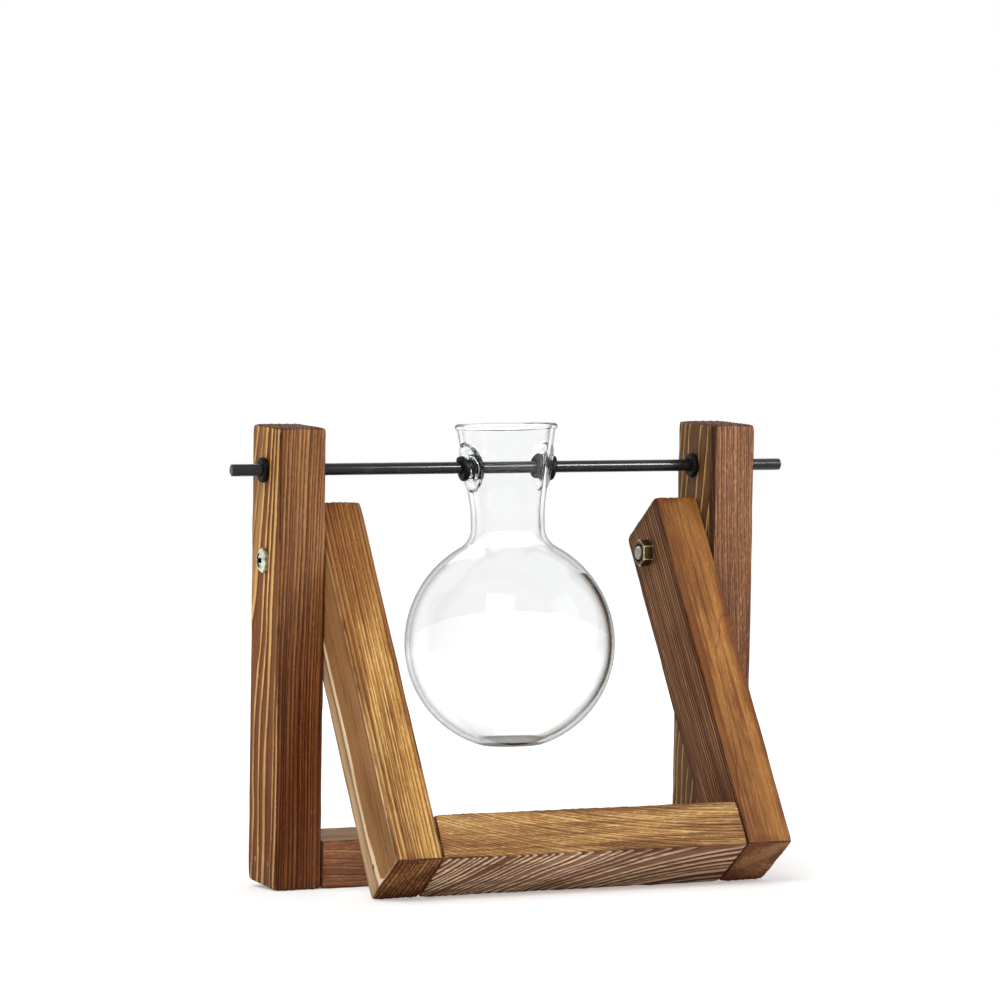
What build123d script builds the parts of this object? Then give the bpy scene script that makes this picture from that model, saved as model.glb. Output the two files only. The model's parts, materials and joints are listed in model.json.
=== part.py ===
"""Propagation vase: a round glass bulb that swings on a steel rod between two hinged wooden frames.

X runs along the rod, Y from front to back and Z up. Each frame is drawn upright about the pivot
line, leaned to its place, and the whole is then set down with the middle of its foot on the origin.
"""
import math
import os

from build123d import *

# Bars: one section of sawn softwood serves both frames
bar_width = 20.0
bar_depth = 34.0
bar_edge_round = 1.0

# Rear frame: two posts with a rail between their feet, the rod near their tops and the pivot below it
stand_width = 213.0
post_length = 189.0
rod_drop = 18.0
pivot_drop = 37.0
lean_angle = 4.65

# Front frame: two legs inside the posts with a rail between their feet, cut to reach the same floor
leg_above_pivot = 17.5
fold_angle = 36.0

# Clearances shared by every fit
running_clearance = 0.08
seat_clearance = 0.02
face_clearance = 0.2
cut_overrun = 1.0

# Rod and the rubber stop rings that grip it
rod_diameter = 5.0
rod_overhang = 17.5
rod_shift = 2.5
rod_end_chamfer = 0.4
ring_diameter = 10.5
ring_thickness = 2.4
ring_round = 0.9

# Pivot bolts and nuts
bolt_diameter = 6.0
bolt_head_diameter = 10.5
bolt_head_height = 3.4
bolt_head_rim = 1.2
bolt_recess_length = 5.4
bolt_recess_width = 1.3
bolt_recess_depth = 1.8
bolt_end_proud = 0.6
bolt_end_chamfer = 0.7
nut_across_flats = 10.0
nut_thickness = 5.0
nut_chamfer_height = 0.7
nut_chamfer_share = 1.4

# Brads that hold each rail between its uprights
brad_diameter = 1.4
brad_head_diameter = 2.2
brad_head_thickness = 1.0
brad_length = 38.0
brad_spacing = 15.0

# Glass: sizes are measured from the rod axis, down the vase's own axis
glass_wall = 1.8
base_thickness = 2.6
rim_turn_height = 15.2
rim_turn_radius = 2.2
rim_turn_angle = 50.0
mouth_flare_angle = 8.8
neck_radius = 15.4
neck_drop = 22.0
neck_bend_radius = 60.0
neck_straight = 3.45
shoulder_fillet = 9.0
shoulder_radius = 46.0
bulb_radius = 44.0
base_cut = 1.5
base_round = 10.0
hole_diameter = 8.0
boss_diameter = 18.0
boss_proud = 0.9

# Rubber grommets in the two glass holes
grommet_diameter = 10.5
grommet_flange = 2.3
grommet_round = 0.8

# Places that follow from the sizes above
rod_radius = rod_diameter / 2
rod_length = stand_width + 2 * rod_overhang
bolt_radius = bolt_diameter / 2
pivot_height = post_length - rod_drop - pivot_drop
post_outer = stand_width / 2
post_inner = post_outer - bar_width
leg_outer = post_inner - face_clearance
leg_inner = leg_outer - bar_width
nut_face = leg_inner - face_clearance
flare = math.radians(mouth_flare_angle)
shoulder_offset = shoulder_radius - bulb_radius
hollow_radius = neck_radius + shoulder_fillet
hollow_rise = math.sqrt((shoulder_radius + shoulder_fillet) ** 2 - (hollow_radius + shoulder_offset) ** 2)
bulb_drop = neck_drop + neck_straight + hollow_rise
base_drop = bulb_drop + bulb_radius - base_cut


def leg_reach():
    """Length of leg below the pivot that sets both frames' rounded feet on one floor."""
    lean, opening = math.radians(lean_angle), math.radians(fold_angle)
    half = bar_depth / 2 - bar_edge_round
    post_foot = pivot_height - bar_edge_round
    drop = math.cos(lean) * (post_foot - half * math.sin(opening))
    drop += math.sin(lean) * half * (1 + math.cos(opening))
    return drop / math.cos(opening - lean) + bar_edge_round


leg_below_pivot = leg_reach()


def along_x(radius, start, end, y=0, z=0):
    """Round bar along X between two places."""
    return Pos((start + end) / 2, y, z) * Rot(0, 90, 0) * Cylinder(radius, abs(end - start))


def brad_places(foot):
    """Depth and height of the two brads at each end of a rail whose frame ends at the foot."""
    return [(side * brad_spacing / 2, foot + bar_width / 2) for side in (-1, 1)]


def brad(outer_face, y, z, clearance=0):
    """Brad driven inward along X from a bar's right outer face, its head flush with the wood."""
    head_end = outer_face - brad_head_thickness - clearance
    point = outer_face - brad_length - clearance
    head = along_x(brad_head_diameter / 2 + clearance, head_end, outer_face, y, z)
    shank = along_x(brad_diameter / 2 + clearance, point, outer_face, y, z)
    return head + shank


def rail_brads(outer_face, foot, clearance=0):
    """All brads of one rail, both ends."""
    right = [brad(outer_face, y, z, clearance) for y, z in brad_places(foot)]
    return right + [mirror(pin, about=Plane.YZ) for pin in right]


def upright(length, foot, middle):
    """Square-cut bar standing at a place along X, with all its edges softened."""
    body = Box(bar_width, bar_depth, length, align=(Align.CENTER, Align.CENTER, Align.MIN))
    return Pos(middle, 0, foot) * fillet(body.edges(), bar_edge_round)


def rail(length, foot):
    """Bar laid between two uprights, its long edges softened and its ends square."""
    body = Box(length, bar_depth, bar_width, align=(Align.CENTER, Align.CENTER, Align.MIN))
    return Pos(0, 0, foot) * fillet(body.edges().filter_by(Axis.X), bar_edge_round)


def right_post():
    """Post with its rod hole, pivot hole and brad holes."""
    post = upright(post_length, -pivot_height, post_outer - bar_width / 2)
    inside, outside = post_inner - cut_overrun, post_outer + cut_overrun
    post -= along_x(rod_radius + running_clearance, inside, outside, 0, pivot_drop)
    post -= along_x(bolt_radius + running_clearance, inside, outside)
    for hole in rail_brads(post_outer, -pivot_height, seat_clearance):
        post -= hole
    return post


def right_leg():
    """Leg with its pivot hole and brad holes."""
    leg = upright(leg_above_pivot + leg_below_pivot, -leg_below_pivot, leg_outer - bar_width / 2)
    leg -= along_x(bolt_radius + running_clearance, leg_inner - cut_overrun, leg_outer + cut_overrun)
    for hole in rail_brads(leg_outer, -leg_below_pivot, seat_clearance):
        leg -= hole
    return leg


def drilled_rail(inner_face, outer_face, foot):
    """Rail between the inner faces of two uprights, with its brad holes."""
    body = rail(2 * inner_face, foot)
    for hole in rail_brads(outer_face, foot, seat_clearance):
        body -= hole
    return body


def right_pivot_bolt():
    """Domed cross-head bolt through the post and the leg, its end just proud of the nut."""
    end = nut_face - nut_thickness - bolt_end_proud
    shank = along_x(bolt_radius, end, post_outer)
    shank = chamfer(shank.edges().group_by(Axis.X)[0], bolt_end_chamfer)
    head_radius = bolt_head_diameter / 2
    crown = bolt_head_height - bolt_head_rim
    dome_radius = (head_radius**2 + crown**2) / (2 * crown)
    head = along_x(head_radius, post_outer, post_outer + bolt_head_height)
    head &= Pos(post_outer + bolt_head_height - dome_radius, 0, 0) * Sphere(dome_radius)
    slot = Box(2 * bolt_recess_depth, bolt_recess_length, bolt_recess_width)
    recess = slot + Rot(90, 0, 0) * slot
    return shank + head - Pos(post_outer + bolt_head_height, 0, 0) * recess


def right_pivot_nut():
    """Hexagon nut with turned corners on the leg's inner face."""
    corner = nut_across_flats / 2 / math.cos(math.pi / 6)
    prism = extrude(RegularPolygon(corner, 6), nut_thickness)
    turning = Pos(0, 0, nut_thickness / 2) * Cylinder(corner, nut_thickness)
    ends = turning.edges().filter_by(GeomType.CIRCLE)
    prism &= chamfer(ends, nut_chamfer_height, nut_chamfer_share * (corner - nut_across_flats / 2))
    nut = Pos(nut_face - nut_thickness, 0, 0) * Rot(0, 90, 0) * prism
    bore_end = nut_face - nut_thickness - cut_overrun
    return nut - along_x(bolt_radius + seat_clearance, bore_end, nut_face + cut_overrun)


def hanging_rod():
    """Straight rod with both cut ends broken."""
    rod = along_x(rod_radius, rod_shift - rod_length / 2, rod_shift + rod_length / 2)
    return chamfer(rod.edges().filter_by(GeomType.CIRCLE), rod_end_chamfer)


def stop_ring(start):
    """Rounded rubber ring on the rod, its inner face at a place along X."""
    end = start + ring_thickness
    ring = along_x(ring_diameter / 2, start, end)
    ring = fillet(ring.edges().filter_by(GeomType.CIRCLE), ring_round)
    return ring - along_x(rod_radius + seat_clearance, start - cut_overrun, end + cut_overrun)


def polar(centre, radius, angle):
    """Place at a distance and an angle in radians from a centre."""
    return (centre[0] + radius * math.cos(angle), centre[1] + radius * math.sin(angle))


def turn(centre, radius, start, end):
    """Arc about a centre between two angles in radians."""
    return CenterArc(centre, radius, math.degrees(start), math.degrees(end - start))


def cone_radius(height, inset=0):
    """Radius of the flared mouth at a height, inset by a distance square to its wall."""
    tangent = polar((neck_radius + neck_bend_radius, -neck_drop), neck_bend_radius + inset, math.pi - flare)
    return tangent[0] + (height - tangent[1]) * math.tan(flare)


def rim_centre():
    """Centre about which the lip turns outward."""
    return polar((cone_radius(rim_turn_height), rim_turn_height), rim_turn_radius, -flare)


def glass_outline(inset, base_lift):
    """Edges of one side of the glass from lip to base, inset from the outer face."""
    lip_angle = math.pi - flare - math.radians(rim_turn_angle)
    lip = rim_centre()
    neck = (neck_radius + neck_bend_radius, -neck_drop)
    neck_wall = neck_radius - inset
    hollow = (hollow_radius, hollow_rise - bulb_drop)
    hollow_angle = math.atan2(hollow_rise, hollow_radius + shoulder_offset)
    upper = (-shoulder_offset, -bulb_drop)
    lower = (0, -bulb_drop)
    base = base_lift - base_drop
    foot_round = base_round - inset
    foot_z = base + foot_round
    foot = (math.sqrt((bulb_radius - inset - foot_round) ** 2 - (foot_z + bulb_drop) ** 2), foot_z)
    foot_angle = math.atan2(foot_z + bulb_drop, foot[0])
    return [
        turn(lip, rim_turn_radius + inset, lip_angle, math.pi - flare),
        Line(
            polar(lip, rim_turn_radius + inset, math.pi - flare),
            polar(neck, neck_bend_radius + inset, math.pi - flare),
        ),
        turn(neck, neck_bend_radius + inset, math.pi - flare, math.pi),
        Line((neck_wall, -neck_drop), (neck_wall, hollow[1])),
        turn(hollow, shoulder_fillet + inset, math.pi, math.pi + hollow_angle),
        turn(upper, shoulder_radius - inset, hollow_angle, 0),
        turn(lower, bulb_radius - inset, 0, foot_angle),
        turn(foot, foot_round, foot_angle, -math.pi / 2),
        Line((foot[0], base), (0, base)),
    ]


def glass_section():
    """Half section of the blown glass, closed by the rounded lip and the axis."""
    lip_angle = math.pi - flare - math.radians(rim_turn_angle)
    lip = polar(rim_centre(), rim_turn_radius + glass_wall / 2, lip_angle)
    edges = glass_outline(0, 0) + glass_outline(glass_wall, base_thickness)
    edges.append(turn(lip, glass_wall / 2, lip_angle, lip_angle - math.pi))
    edges.append(Line((0, -base_drop), (0, base_thickness - base_drop)))
    return make_face(edges)


def mouth_shell(proud):
    """Conical shell about the rod's level, proud of the glass on both faces."""
    reach = boss_diameter
    corners = [
        (cone_radius(-reach, -proud), -reach),
        (cone_radius(reach, -proud), reach),
        (cone_radius(reach, glass_wall + proud), reach),
        (cone_radius(-reach, glass_wall + proud), -reach),
    ]
    return revolve(Plane.XZ * make_face(Polyline(*corners, close=True)), Axis.Z)


def glass_vase():
    """Blown bulb with a thick fire-polished ring round each rod hole."""
    reach = cone_radius(boss_diameter) + cut_overrun
    glass = revolve(Plane.XZ * glass_section(), Axis.Z)
    glass += mouth_shell(boss_proud) & along_x(boss_diameter / 2, -reach, reach)
    return glass - along_x(hole_diameter / 2, -reach, reach)


def right_grommet():
    """Rubber spool that grips the edge of the glass hole and runs on the rod."""
    middle = (cone_radius(0) + cone_radius(0, glass_wall)) / 2
    wall = glass_wall + 2 * boss_proud
    place = Pos(middle, 0, 0) * Rot(0, 90 + mouth_flare_angle, 0)
    spool = Cylinder(grommet_diameter / 2, wall + 2 * grommet_flange)
    spool = place * fillet(spool.edges().filter_by(GeomType.CIRCLE), grommet_round)
    reach = grommet_diameter + wall
    neck = along_x(hole_diameter / 2 - seat_clearance, middle - reach, middle + reach)
    spool -= mouth_shell(boss_proud + seat_clearance) - neck
    return spool - along_x(rod_radius + running_clearance, middle - reach, middle + reach)


def pair(name, right):
    """Right piece and its mirror image on the left."""
    return {f"left_{name}": mirror(right, about=Plane.YZ), f"right_{name}": right}


def ring_starts():
    """Places along X of the rings on both faces of each post."""
    inner, outer = post_inner - face_clearance - ring_thickness, post_outer + face_clearance
    return {
        "left_outer_ring": -outer - ring_thickness,
        "left_inner_ring": -inner - ring_thickness,
        "right_inner_ring": inner,
        "right_outer_ring": outer,
    }


rear_frame = {
    **pair("post", right_post()),
    "rear_rail": drilled_rail(post_inner, post_outer, -pivot_height),
    "rear_rail_brads": Compound(rail_brads(post_outer, -pivot_height)),
    **pair("pivot_bolt", right_pivot_bolt()),
    **pair("pivot_nut", right_pivot_nut()),
}
front_frame = {
    **pair("leg", right_leg()),
    "front_rail": drilled_rail(leg_inner, leg_outer, -leg_below_pivot),
    "front_rail_brads": Compound(rail_brads(leg_outer, -leg_below_pivot)),
}
rod_set = {"hanging_rod": hanging_rod()}
for ring_name, ring_start in ring_starts().items():
    rod_set[ring_name] = stop_ring(ring_start)
vase_set = {"glass_vase": glass_vase(), **pair("grommet", right_grommet())}

rod_place = Rot(lean_angle, 0, 0) * Pos(0, 0, pivot_drop)
rod_axis = Pos(0, rod_place.position.Y, rod_place.position.Z)
standing = {
    **{name: Rot(lean_angle, 0, 0) * piece for name, piece in rear_frame.items()},
    **{name: Rot(lean_angle - fold_angle, 0, 0) * piece for name, piece in front_frame.items()},
    **{name: rod_axis * piece for name, piece in rod_set.items()},
    **{name: rod_axis * piece for name, piece in vase_set.items()},
}

box = Compound(list(standing.values())).bounding_box()
home = Pos(-box.center().X, -box.center().Y, -box.min.Z)
os.makedirs("parts", exist_ok=True)
for name, piece in standing.items():
    export_step(home * piece, f"parts/{name}.step")

print("length of a leg:", round(leg_above_pivot + leg_below_pivot, 3))
print("pivot line:", home.position)
print("rod axis:", (home * rod_axis).position)
print("size of the whole:", box.size)
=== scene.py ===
"""Looks of the propagation vase: brushed wooden stand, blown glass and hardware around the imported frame.

Every length is in metres in the frame's own axes, X along the rod, Y from front to back and Z up.
Sizes are written in millimetres times MM. Grain is worked out in millimetres along each bar.
"""

from __future__ import annotations

import json
import logging
import math
from collections.abc import Iterable, Sequence
from dataclasses import dataclass, field
from enum import Enum

import bmesh
import bpy
import numpy as np
from mathutils import Matrix, Vector, noise

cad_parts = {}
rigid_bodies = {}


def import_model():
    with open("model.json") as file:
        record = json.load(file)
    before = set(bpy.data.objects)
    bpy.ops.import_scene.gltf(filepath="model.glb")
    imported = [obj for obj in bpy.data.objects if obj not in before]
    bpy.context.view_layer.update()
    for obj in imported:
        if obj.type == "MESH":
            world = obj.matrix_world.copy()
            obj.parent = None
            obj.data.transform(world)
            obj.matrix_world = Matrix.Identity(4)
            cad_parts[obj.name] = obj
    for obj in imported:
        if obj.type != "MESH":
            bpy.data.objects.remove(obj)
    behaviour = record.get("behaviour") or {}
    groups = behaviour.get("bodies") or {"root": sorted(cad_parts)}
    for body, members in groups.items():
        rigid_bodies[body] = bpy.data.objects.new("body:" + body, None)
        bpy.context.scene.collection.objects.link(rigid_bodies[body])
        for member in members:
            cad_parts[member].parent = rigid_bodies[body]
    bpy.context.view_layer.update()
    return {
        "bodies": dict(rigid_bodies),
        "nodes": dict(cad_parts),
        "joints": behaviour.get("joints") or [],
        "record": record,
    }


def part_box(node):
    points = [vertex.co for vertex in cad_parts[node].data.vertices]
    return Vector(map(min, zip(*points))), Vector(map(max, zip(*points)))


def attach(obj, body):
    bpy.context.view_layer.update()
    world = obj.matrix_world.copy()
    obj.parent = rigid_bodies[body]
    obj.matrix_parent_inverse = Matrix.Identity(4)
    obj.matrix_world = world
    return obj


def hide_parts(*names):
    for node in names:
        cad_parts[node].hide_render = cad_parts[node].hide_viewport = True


LOG = logging.getLogger("propagation_vase")
MM = 0.001
FULL_TURN = 2 * math.pi
MERGE_REACH = 0.001 * MM

# Length over which a bar's darkening along its length is laid out, in millimetres from its low end
GRAIN_SPAN = 190.0
# Middle of a shader noise
NOISE_MEAN = 0.5
# Share of a ring where its ridge is topmost, and the shares of the ridge's width over which it rises to there
RIDGE_TOP = 0.95
RIDGE_RISE = (1.35, 0.3)
# Shares of a ring between which its ridge falls again
RIDGE_FALL = (0.93, 1.0)

Colour = tuple[float, float, float, float]
Place = tuple[float, float]
Span = tuple[float, float]
Pitch = tuple[float, float, float]

WHITE: Colour = (1.0, 1.0, 1.0, 1.0)
BLACK: Colour = (0.0, 0.0, 0.0, 1.0)


class Side(Enum):
    """Side of the object, by the sign of its X."""

    LEFT = -1
    RIGHT = 1

    @property
    def word(self) -> str:
        """Name of the side as the frame's nodes spell it."""
        return self.name.lower()


class Lie(Enum):
    """Which of a frame's own axes a bar runs along, across its narrow side and through its wide side."""

    UPRIGHT = (2, 0, 1)
    LEVEL = (0, 2, 1)


class Mark(Enum):
    """Names of the mesh attributes that carry grain, painted shade and highlights from a shape to its finish.
    """

    PLACE = "grain_place"
    RINGS = "grain_rings"
    WIDTH = "ridge_width"
    SIDE = "side_face"
    END = "end_face"
    ARRIS = "arris"
    # Painted shade above 0, only a darker tone on a bolt's tip, and painted highlights below 0.
    SOIL = "soil"


def tint(code: str) -> Colour:
    """Gives the linear colour of an sRGB code, by the curve of that standard.

    Args:
        code: six hexadecimal digits.

    Returns:
        The colour, opaque.
    """
    shares = [int(code[at : at + 2], 16) / 255 for at in (0, 2, 4)]
    linear = [s / 12.92 if s <= 0.04045 else ((s + 0.055) / 1.055) ** 2.4 for s in shares]
    return (linear[0], linear[1], linear[2], 1.0)


def clamped(share: float) -> float:
    """Keeps a share between 0 and 1."""
    return min(1.0, max(0.0, share))


def smooth_step(low: float | np.ndarray, high: float | np.ndarray, values: np.ndarray) -> np.ndarray:
    """Eases values from 0 at low to 1 at high.

    Args:
        low: value that becomes 0; it may be above high.
        high: value that becomes 1.
        values: what is eased.

    Returns:
        Shares from 0 to 1.
    """
    share = np.clip((values - low) / (high - low), 0.0, 1.0)
    return share * share * (3 - 2 * share)


@dataclass(frozen=True)
class NoiseScale:
    """Scale of a noise: how often it repeats per unit along each axis, and how many finer layers it has."""

    pitch: Pitch
    layers: float

    @classmethod
    def even(cls, pitch: float, layers: float) -> NoiseScale:
        """Gives the scale of a noise that is alike along every axis."""
        return cls((pitch, pitch, pitch), layers)


class Value:
    """A number on a shader socket. Its operators add Math nodes."""

    def __init__(self, shader: Shader, socket: bpy.types.NodeSocket) -> None:
        """Wraps one output socket of a shader."""
        self.shader = shader
        self.socket = socket

    def _math(self, operation: str, *inputs: Value | float) -> Value:
        """Adds a Math node of that operation over the inputs."""
        return self.shader.value("ShaderNodeMath", {"operation": operation}, dict(enumerate(inputs)))

    def __add__(self, other: Value | float) -> Value:
        """Adds another value or number."""
        return self._math("ADD", self, other)

    def __radd__(self, other: float) -> Value:
        """Adds this value to a number."""
        return self._math("ADD", other, self)

    def __sub__(self, other: Value | float) -> Value:
        """Takes another value or number away."""
        return self._math("SUBTRACT", self, other)

    def __rsub__(self, other: float) -> Value:
        """Takes this value from a number."""
        return self._math("SUBTRACT", other, self)

    def __mul__(self, other: Value | float) -> Value:
        """Multiplies by another value or number."""
        return self._math("MULTIPLY", self, other)

    def __rmul__(self, other: float) -> Value:
        """Multiplies a number by this value."""
        return self._math("MULTIPLY", other, self)

    def fract(self) -> Value:
        """Keeps what is left past the whole number below."""
        return self._math("FRACT", self)

    def floor(self) -> Value:
        """Gives the whole number below."""
        return self._math("FLOOR", self)

    def larger(self, other: Value | float) -> Value:
        """Gives the larger of this and another value."""
        return self._math("MAXIMUM", self, other)

    def smooth(self, low: Value | float, high: Value | float) -> Value:
        """Eases this value from 0 at low to 1 at high."""
        settings = {"interpolation_type": "SMOOTHSTEP"}
        return self.shader.value("ShaderNodeMapRange", settings, {0: self, 1: low, 2: high})

    def between(self, low: float, high: float) -> Value:
        """Runs from low where this value is 0 to high where it is 1."""
        return low + (high - low) * self


class Shader:
    """The node tree of one material or of the world."""

    # Numbers of a Mix node's factor and two colours, and of its mixed colour
    MIX_INPUTS = (0, 6, 7)
    MIX_OUTPUT = 2

    def __init__(self, tree: bpy.types.NodeTree) -> None:
        """Starts from an emptied tree."""
        self.tree = tree
        self.tree.nodes.clear()

    def node(self, kind: str, settings: dict | None = None, sockets: dict | None = None) -> bpy.types.Node:
        """Adds a node.

        Args:
            kind: the node's type.
            settings: its properties, set first; "stops" holds a ramp's places and colours.
            sockets: values or links of its inputs, by name or number.

        Returns:
            The new node.
        """
        made = self.tree.nodes.new(kind)
        for name, setting in (settings or {}).items():
            if name == "stops":
                self._set_stops(made.color_ramp, setting)
            else:
                setattr(made, name, setting)
        for key, given in (sockets or {}).items():
            if isinstance(given, Value):
                self.tree.links.new(given.socket, made.inputs[key])
            elif isinstance(given, bpy.types.NodeSocket):
                self.tree.links.new(given, made.inputs[key])
            else:
                made.inputs[key].default_value = given
        return made

    @staticmethod
    def _set_stops(ramp: bpy.types.ColorRamp, stops: Sequence[tuple[float, Colour]]) -> None:
        """Sets a colour ramp's stops.

        Args:
            ramp: a new ramp, which has two stops.
            stops: place and colour of each stop, in order.
        """
        while len(ramp.elements) < len(stops):
            ramp.elements.new(1.0)
        for element, (place, colour) in zip(ramp.elements, stops):
            element.position = place
            element.color = colour

    def value(self, kind: str, settings: dict, sockets: dict, output: int | str = 0) -> Value:
        """Adds a node and wraps one of its outputs as a number."""
        return Value(self, self.node(kind, settings, sockets).outputs[output])

    def mark(self, mark: Mark, output: str = "Fac") -> Value:
        """Reads one of the mesh's own attributes."""
        settings = {"attribute_name": mark.value}
        return self.value("ShaderNodeAttribute", settings, {}, output)

    def object_place(self) -> bpy.types.NodeSocket:
        """Gives the piece's own Object coordinates."""
        return self.node("ShaderNodeTexCoord").outputs["Object"]

    def noise(self, place: bpy.types.NodeSocket, scale: NoiseScale) -> Value:
        """Adds noise with its own pitch along each axis.

        Args:
            place: the coordinates.
            scale: the noise's pitch and layers.

        Returns:
            The noise, from 0 to 1.
        """
        scaled = self.node("ShaderNodeVectorMath", {"operation": "MULTIPLY"}, {0: place, 1: scale.pitch})
        sockets = {"Vector": scaled.outputs[0], "Scale": 1.0, "Detail": scale.layers}
        return self.value("ShaderNodeTexNoise", {}, sockets)

    def blend(
        self,
        share: Value | float,
        first: bpy.types.NodeSocket | Colour,
        second: bpy.types.NodeSocket | Colour,
        way: str = "MIX",
    ) -> bpy.types.NodeSocket:
        """Mixes two colours.

        Args:
            share: how much of the second shows.
            first: the colour at share 0.
            second: the colour at share 1.
            way: how the second is laid on the first.

        Returns:
            The mixed colour.
        """
        settings = {"data_type": "RGBA", "blend_type": way}
        sockets = dict(zip(self.MIX_INPUTS, (share, first, second)))
        return self.node("ShaderNodeMix", settings, sockets).outputs[self.MIX_OUTPUT]

    def shade(self, colour: bpy.types.NodeSocket, tone: Value) -> bpy.types.NodeSocket:
        """Scales a colour by a tone."""
        settings = {"operation": "SCALE"}
        return self.node("ShaderNodeVectorMath", settings, {0: colour, "Scale": tone}).outputs[0]

    def bump(self, height: Value, distance: float, strength: float) -> bpy.types.NodeSocket:
        """Turns a height into a normal, for features that deep."""
        sockets = {"Height": height, "Distance": distance, "Strength": strength}
        return self.node("ShaderNodeBump", {}, sockets).outputs[0]

    def show(self, surface: bpy.types.Node, volume: bpy.types.Node | None = None) -> None:
        """Links what the material shows to its output.

        Args:
            surface: the surface's shader.
            volume: the shader of what lies inside, where there is one.
        """
        sockets = {"Surface": surface.outputs[0]}
        if volume is not None:
            sockets["Volume"] = volume.outputs[0]
        self.node("ShaderNodeOutputMaterial", {}, sockets)

    def show_principled(self, sockets: dict) -> None:
        """Shows one Principled surface with those sockets."""
        self.show(self.node("ShaderNodeBsdfPrincipled", {}, sockets))


def new_material(name: str) -> tuple[bpy.types.Material, Shader]:
    """Makes an empty material.

    Args:
        name: the material's name.

    Returns:
        The material and the shader that fills it.
    """
    material = bpy.data.materials.new(name)
    material.use_nodes = True
    return material, Shader(material.node_tree)


@dataclass(frozen=True)
class FaceTone:
    """Tone of one pair of opposite faces of a bar.

    early is the stained wood between the ridges and late the pale brushed ridges. ridge says how far those
    show, fuzz how far short raised fibres do and gold how much paler some whole rings are. char is how dark
    the scorched patches are and edge how much more of them lies along the arrises. spared_along holds
    how far the face is spared from darkening along the bar, at shares of GRAIN_SPAN from the bar's low end.
    """

    early: str
    late: str
    ridge: float
    fuzz: float
    char: float = 0.5
    edge: float = 0.1
    gold: float = 0.2
    spared_along: tuple[Place, ...] = ((0.0, 1.0), (1.0, 1.0))


@dataclass(frozen=True)
class BrushedLook:
    """What the brushed, stained and scorched wood of every bar has in common.

    Noises repeat per millimetre along, across and through the bar. A value named for a noise or a distance,
    as ridge_by_fibre is, runs over its span as that goes from 0 to 1. Reaches are distances from an arris in
    millimetres, and the draws set one ring's chance numbers apart.
    """

    streak: NoiseScale = NoiseScale((0.011, 0.8, 0.8), 4.0)
    fibre: NoiseScale = NoiseScale((0.11, 4.4, 4.4), 2.0)
    fleck: NoiseScale = NoiseScale((0.45, 2.2, 2.2), 3.0)
    blotch: NoiseScale = NoiseScale((0.02, 0.085, 0.085), 3.0)
    speck: NoiseScale = NoiseScale((0.8, 1.5, 1.5), 1.0)
    speck_span: Span = (0.73, 0.8)
    speck_share: float = 0.4
    scuff: NoiseScale = NoiseScale((0.06, 0.09, 0.09), 2.0)
    scuff_span: Span = (0.42, 0.62)
    fade: NoiseScale = NoiseScale((0.03, 0.35, 0.35), 3.0)
    fade_span: Span = (0.3, 0.7)
    ring_by_streak: float = 0.4
    ring_by_fleck: float = 0.45
    groove_width: float = 1.2
    groove_shade: float = 0.5
    strength_draw: float = 0.375
    gold_draw: float = 22.390625
    gold_span: Span = (0.7, 0.97)
    ridge_by_ring: Span = (0.35, 1.2)
    ridge_by_fibre: Span = (0.5, 1.5)
    ridge_by_fade: Span = (0.45, 1.55)
    ridge_by_arris: Span = (0.3, 1.0)
    ridge_reach: Span = (0.1, 1.0)
    ridge_least_width: Span = (0.02, 0.07)
    fuzz_span: Span = (0.5, 0.7)
    fuzz_by_streak: Span = (0.4, 1.6)
    end_by_crest: Span = (0.95, 0.5)
    tone_by_fibre: Span = (0.55, 1.45)
    tone_by_streak: Span = (0.6, 1.4)
    worn_reach: Span = (0.1, 0.9)
    worn_by_scuff: Span = (0.15, 1.0)
    worn_by_fleck: Span = (0.4, 1.2)
    planed_span: Span = (0.3, 0.9)
    planed_by_streak: Span = (0.55, 1.05)
    scorch_by_streak: float = 0.5
    scorch_by_fibre: float = 0.35
    darkening_stray: float = 0.35
    scorch_reach: Span = (0.3, 6.0)
    scorch_span: Span = (0.3, 0.58)
    roughness: float = 0.68
    roughness_by_fibre: float = 0.2
    roughness_by_crest: float = 0.1
    specular: float = 0.1
    bump_by_fibre: float = 0.5
    bump_by_fleck: float = 0.45
    bump_by_crest: float = 0.4
    bump_depth: float = 0.16 * MM
    bump_strength: float = 0.6


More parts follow.
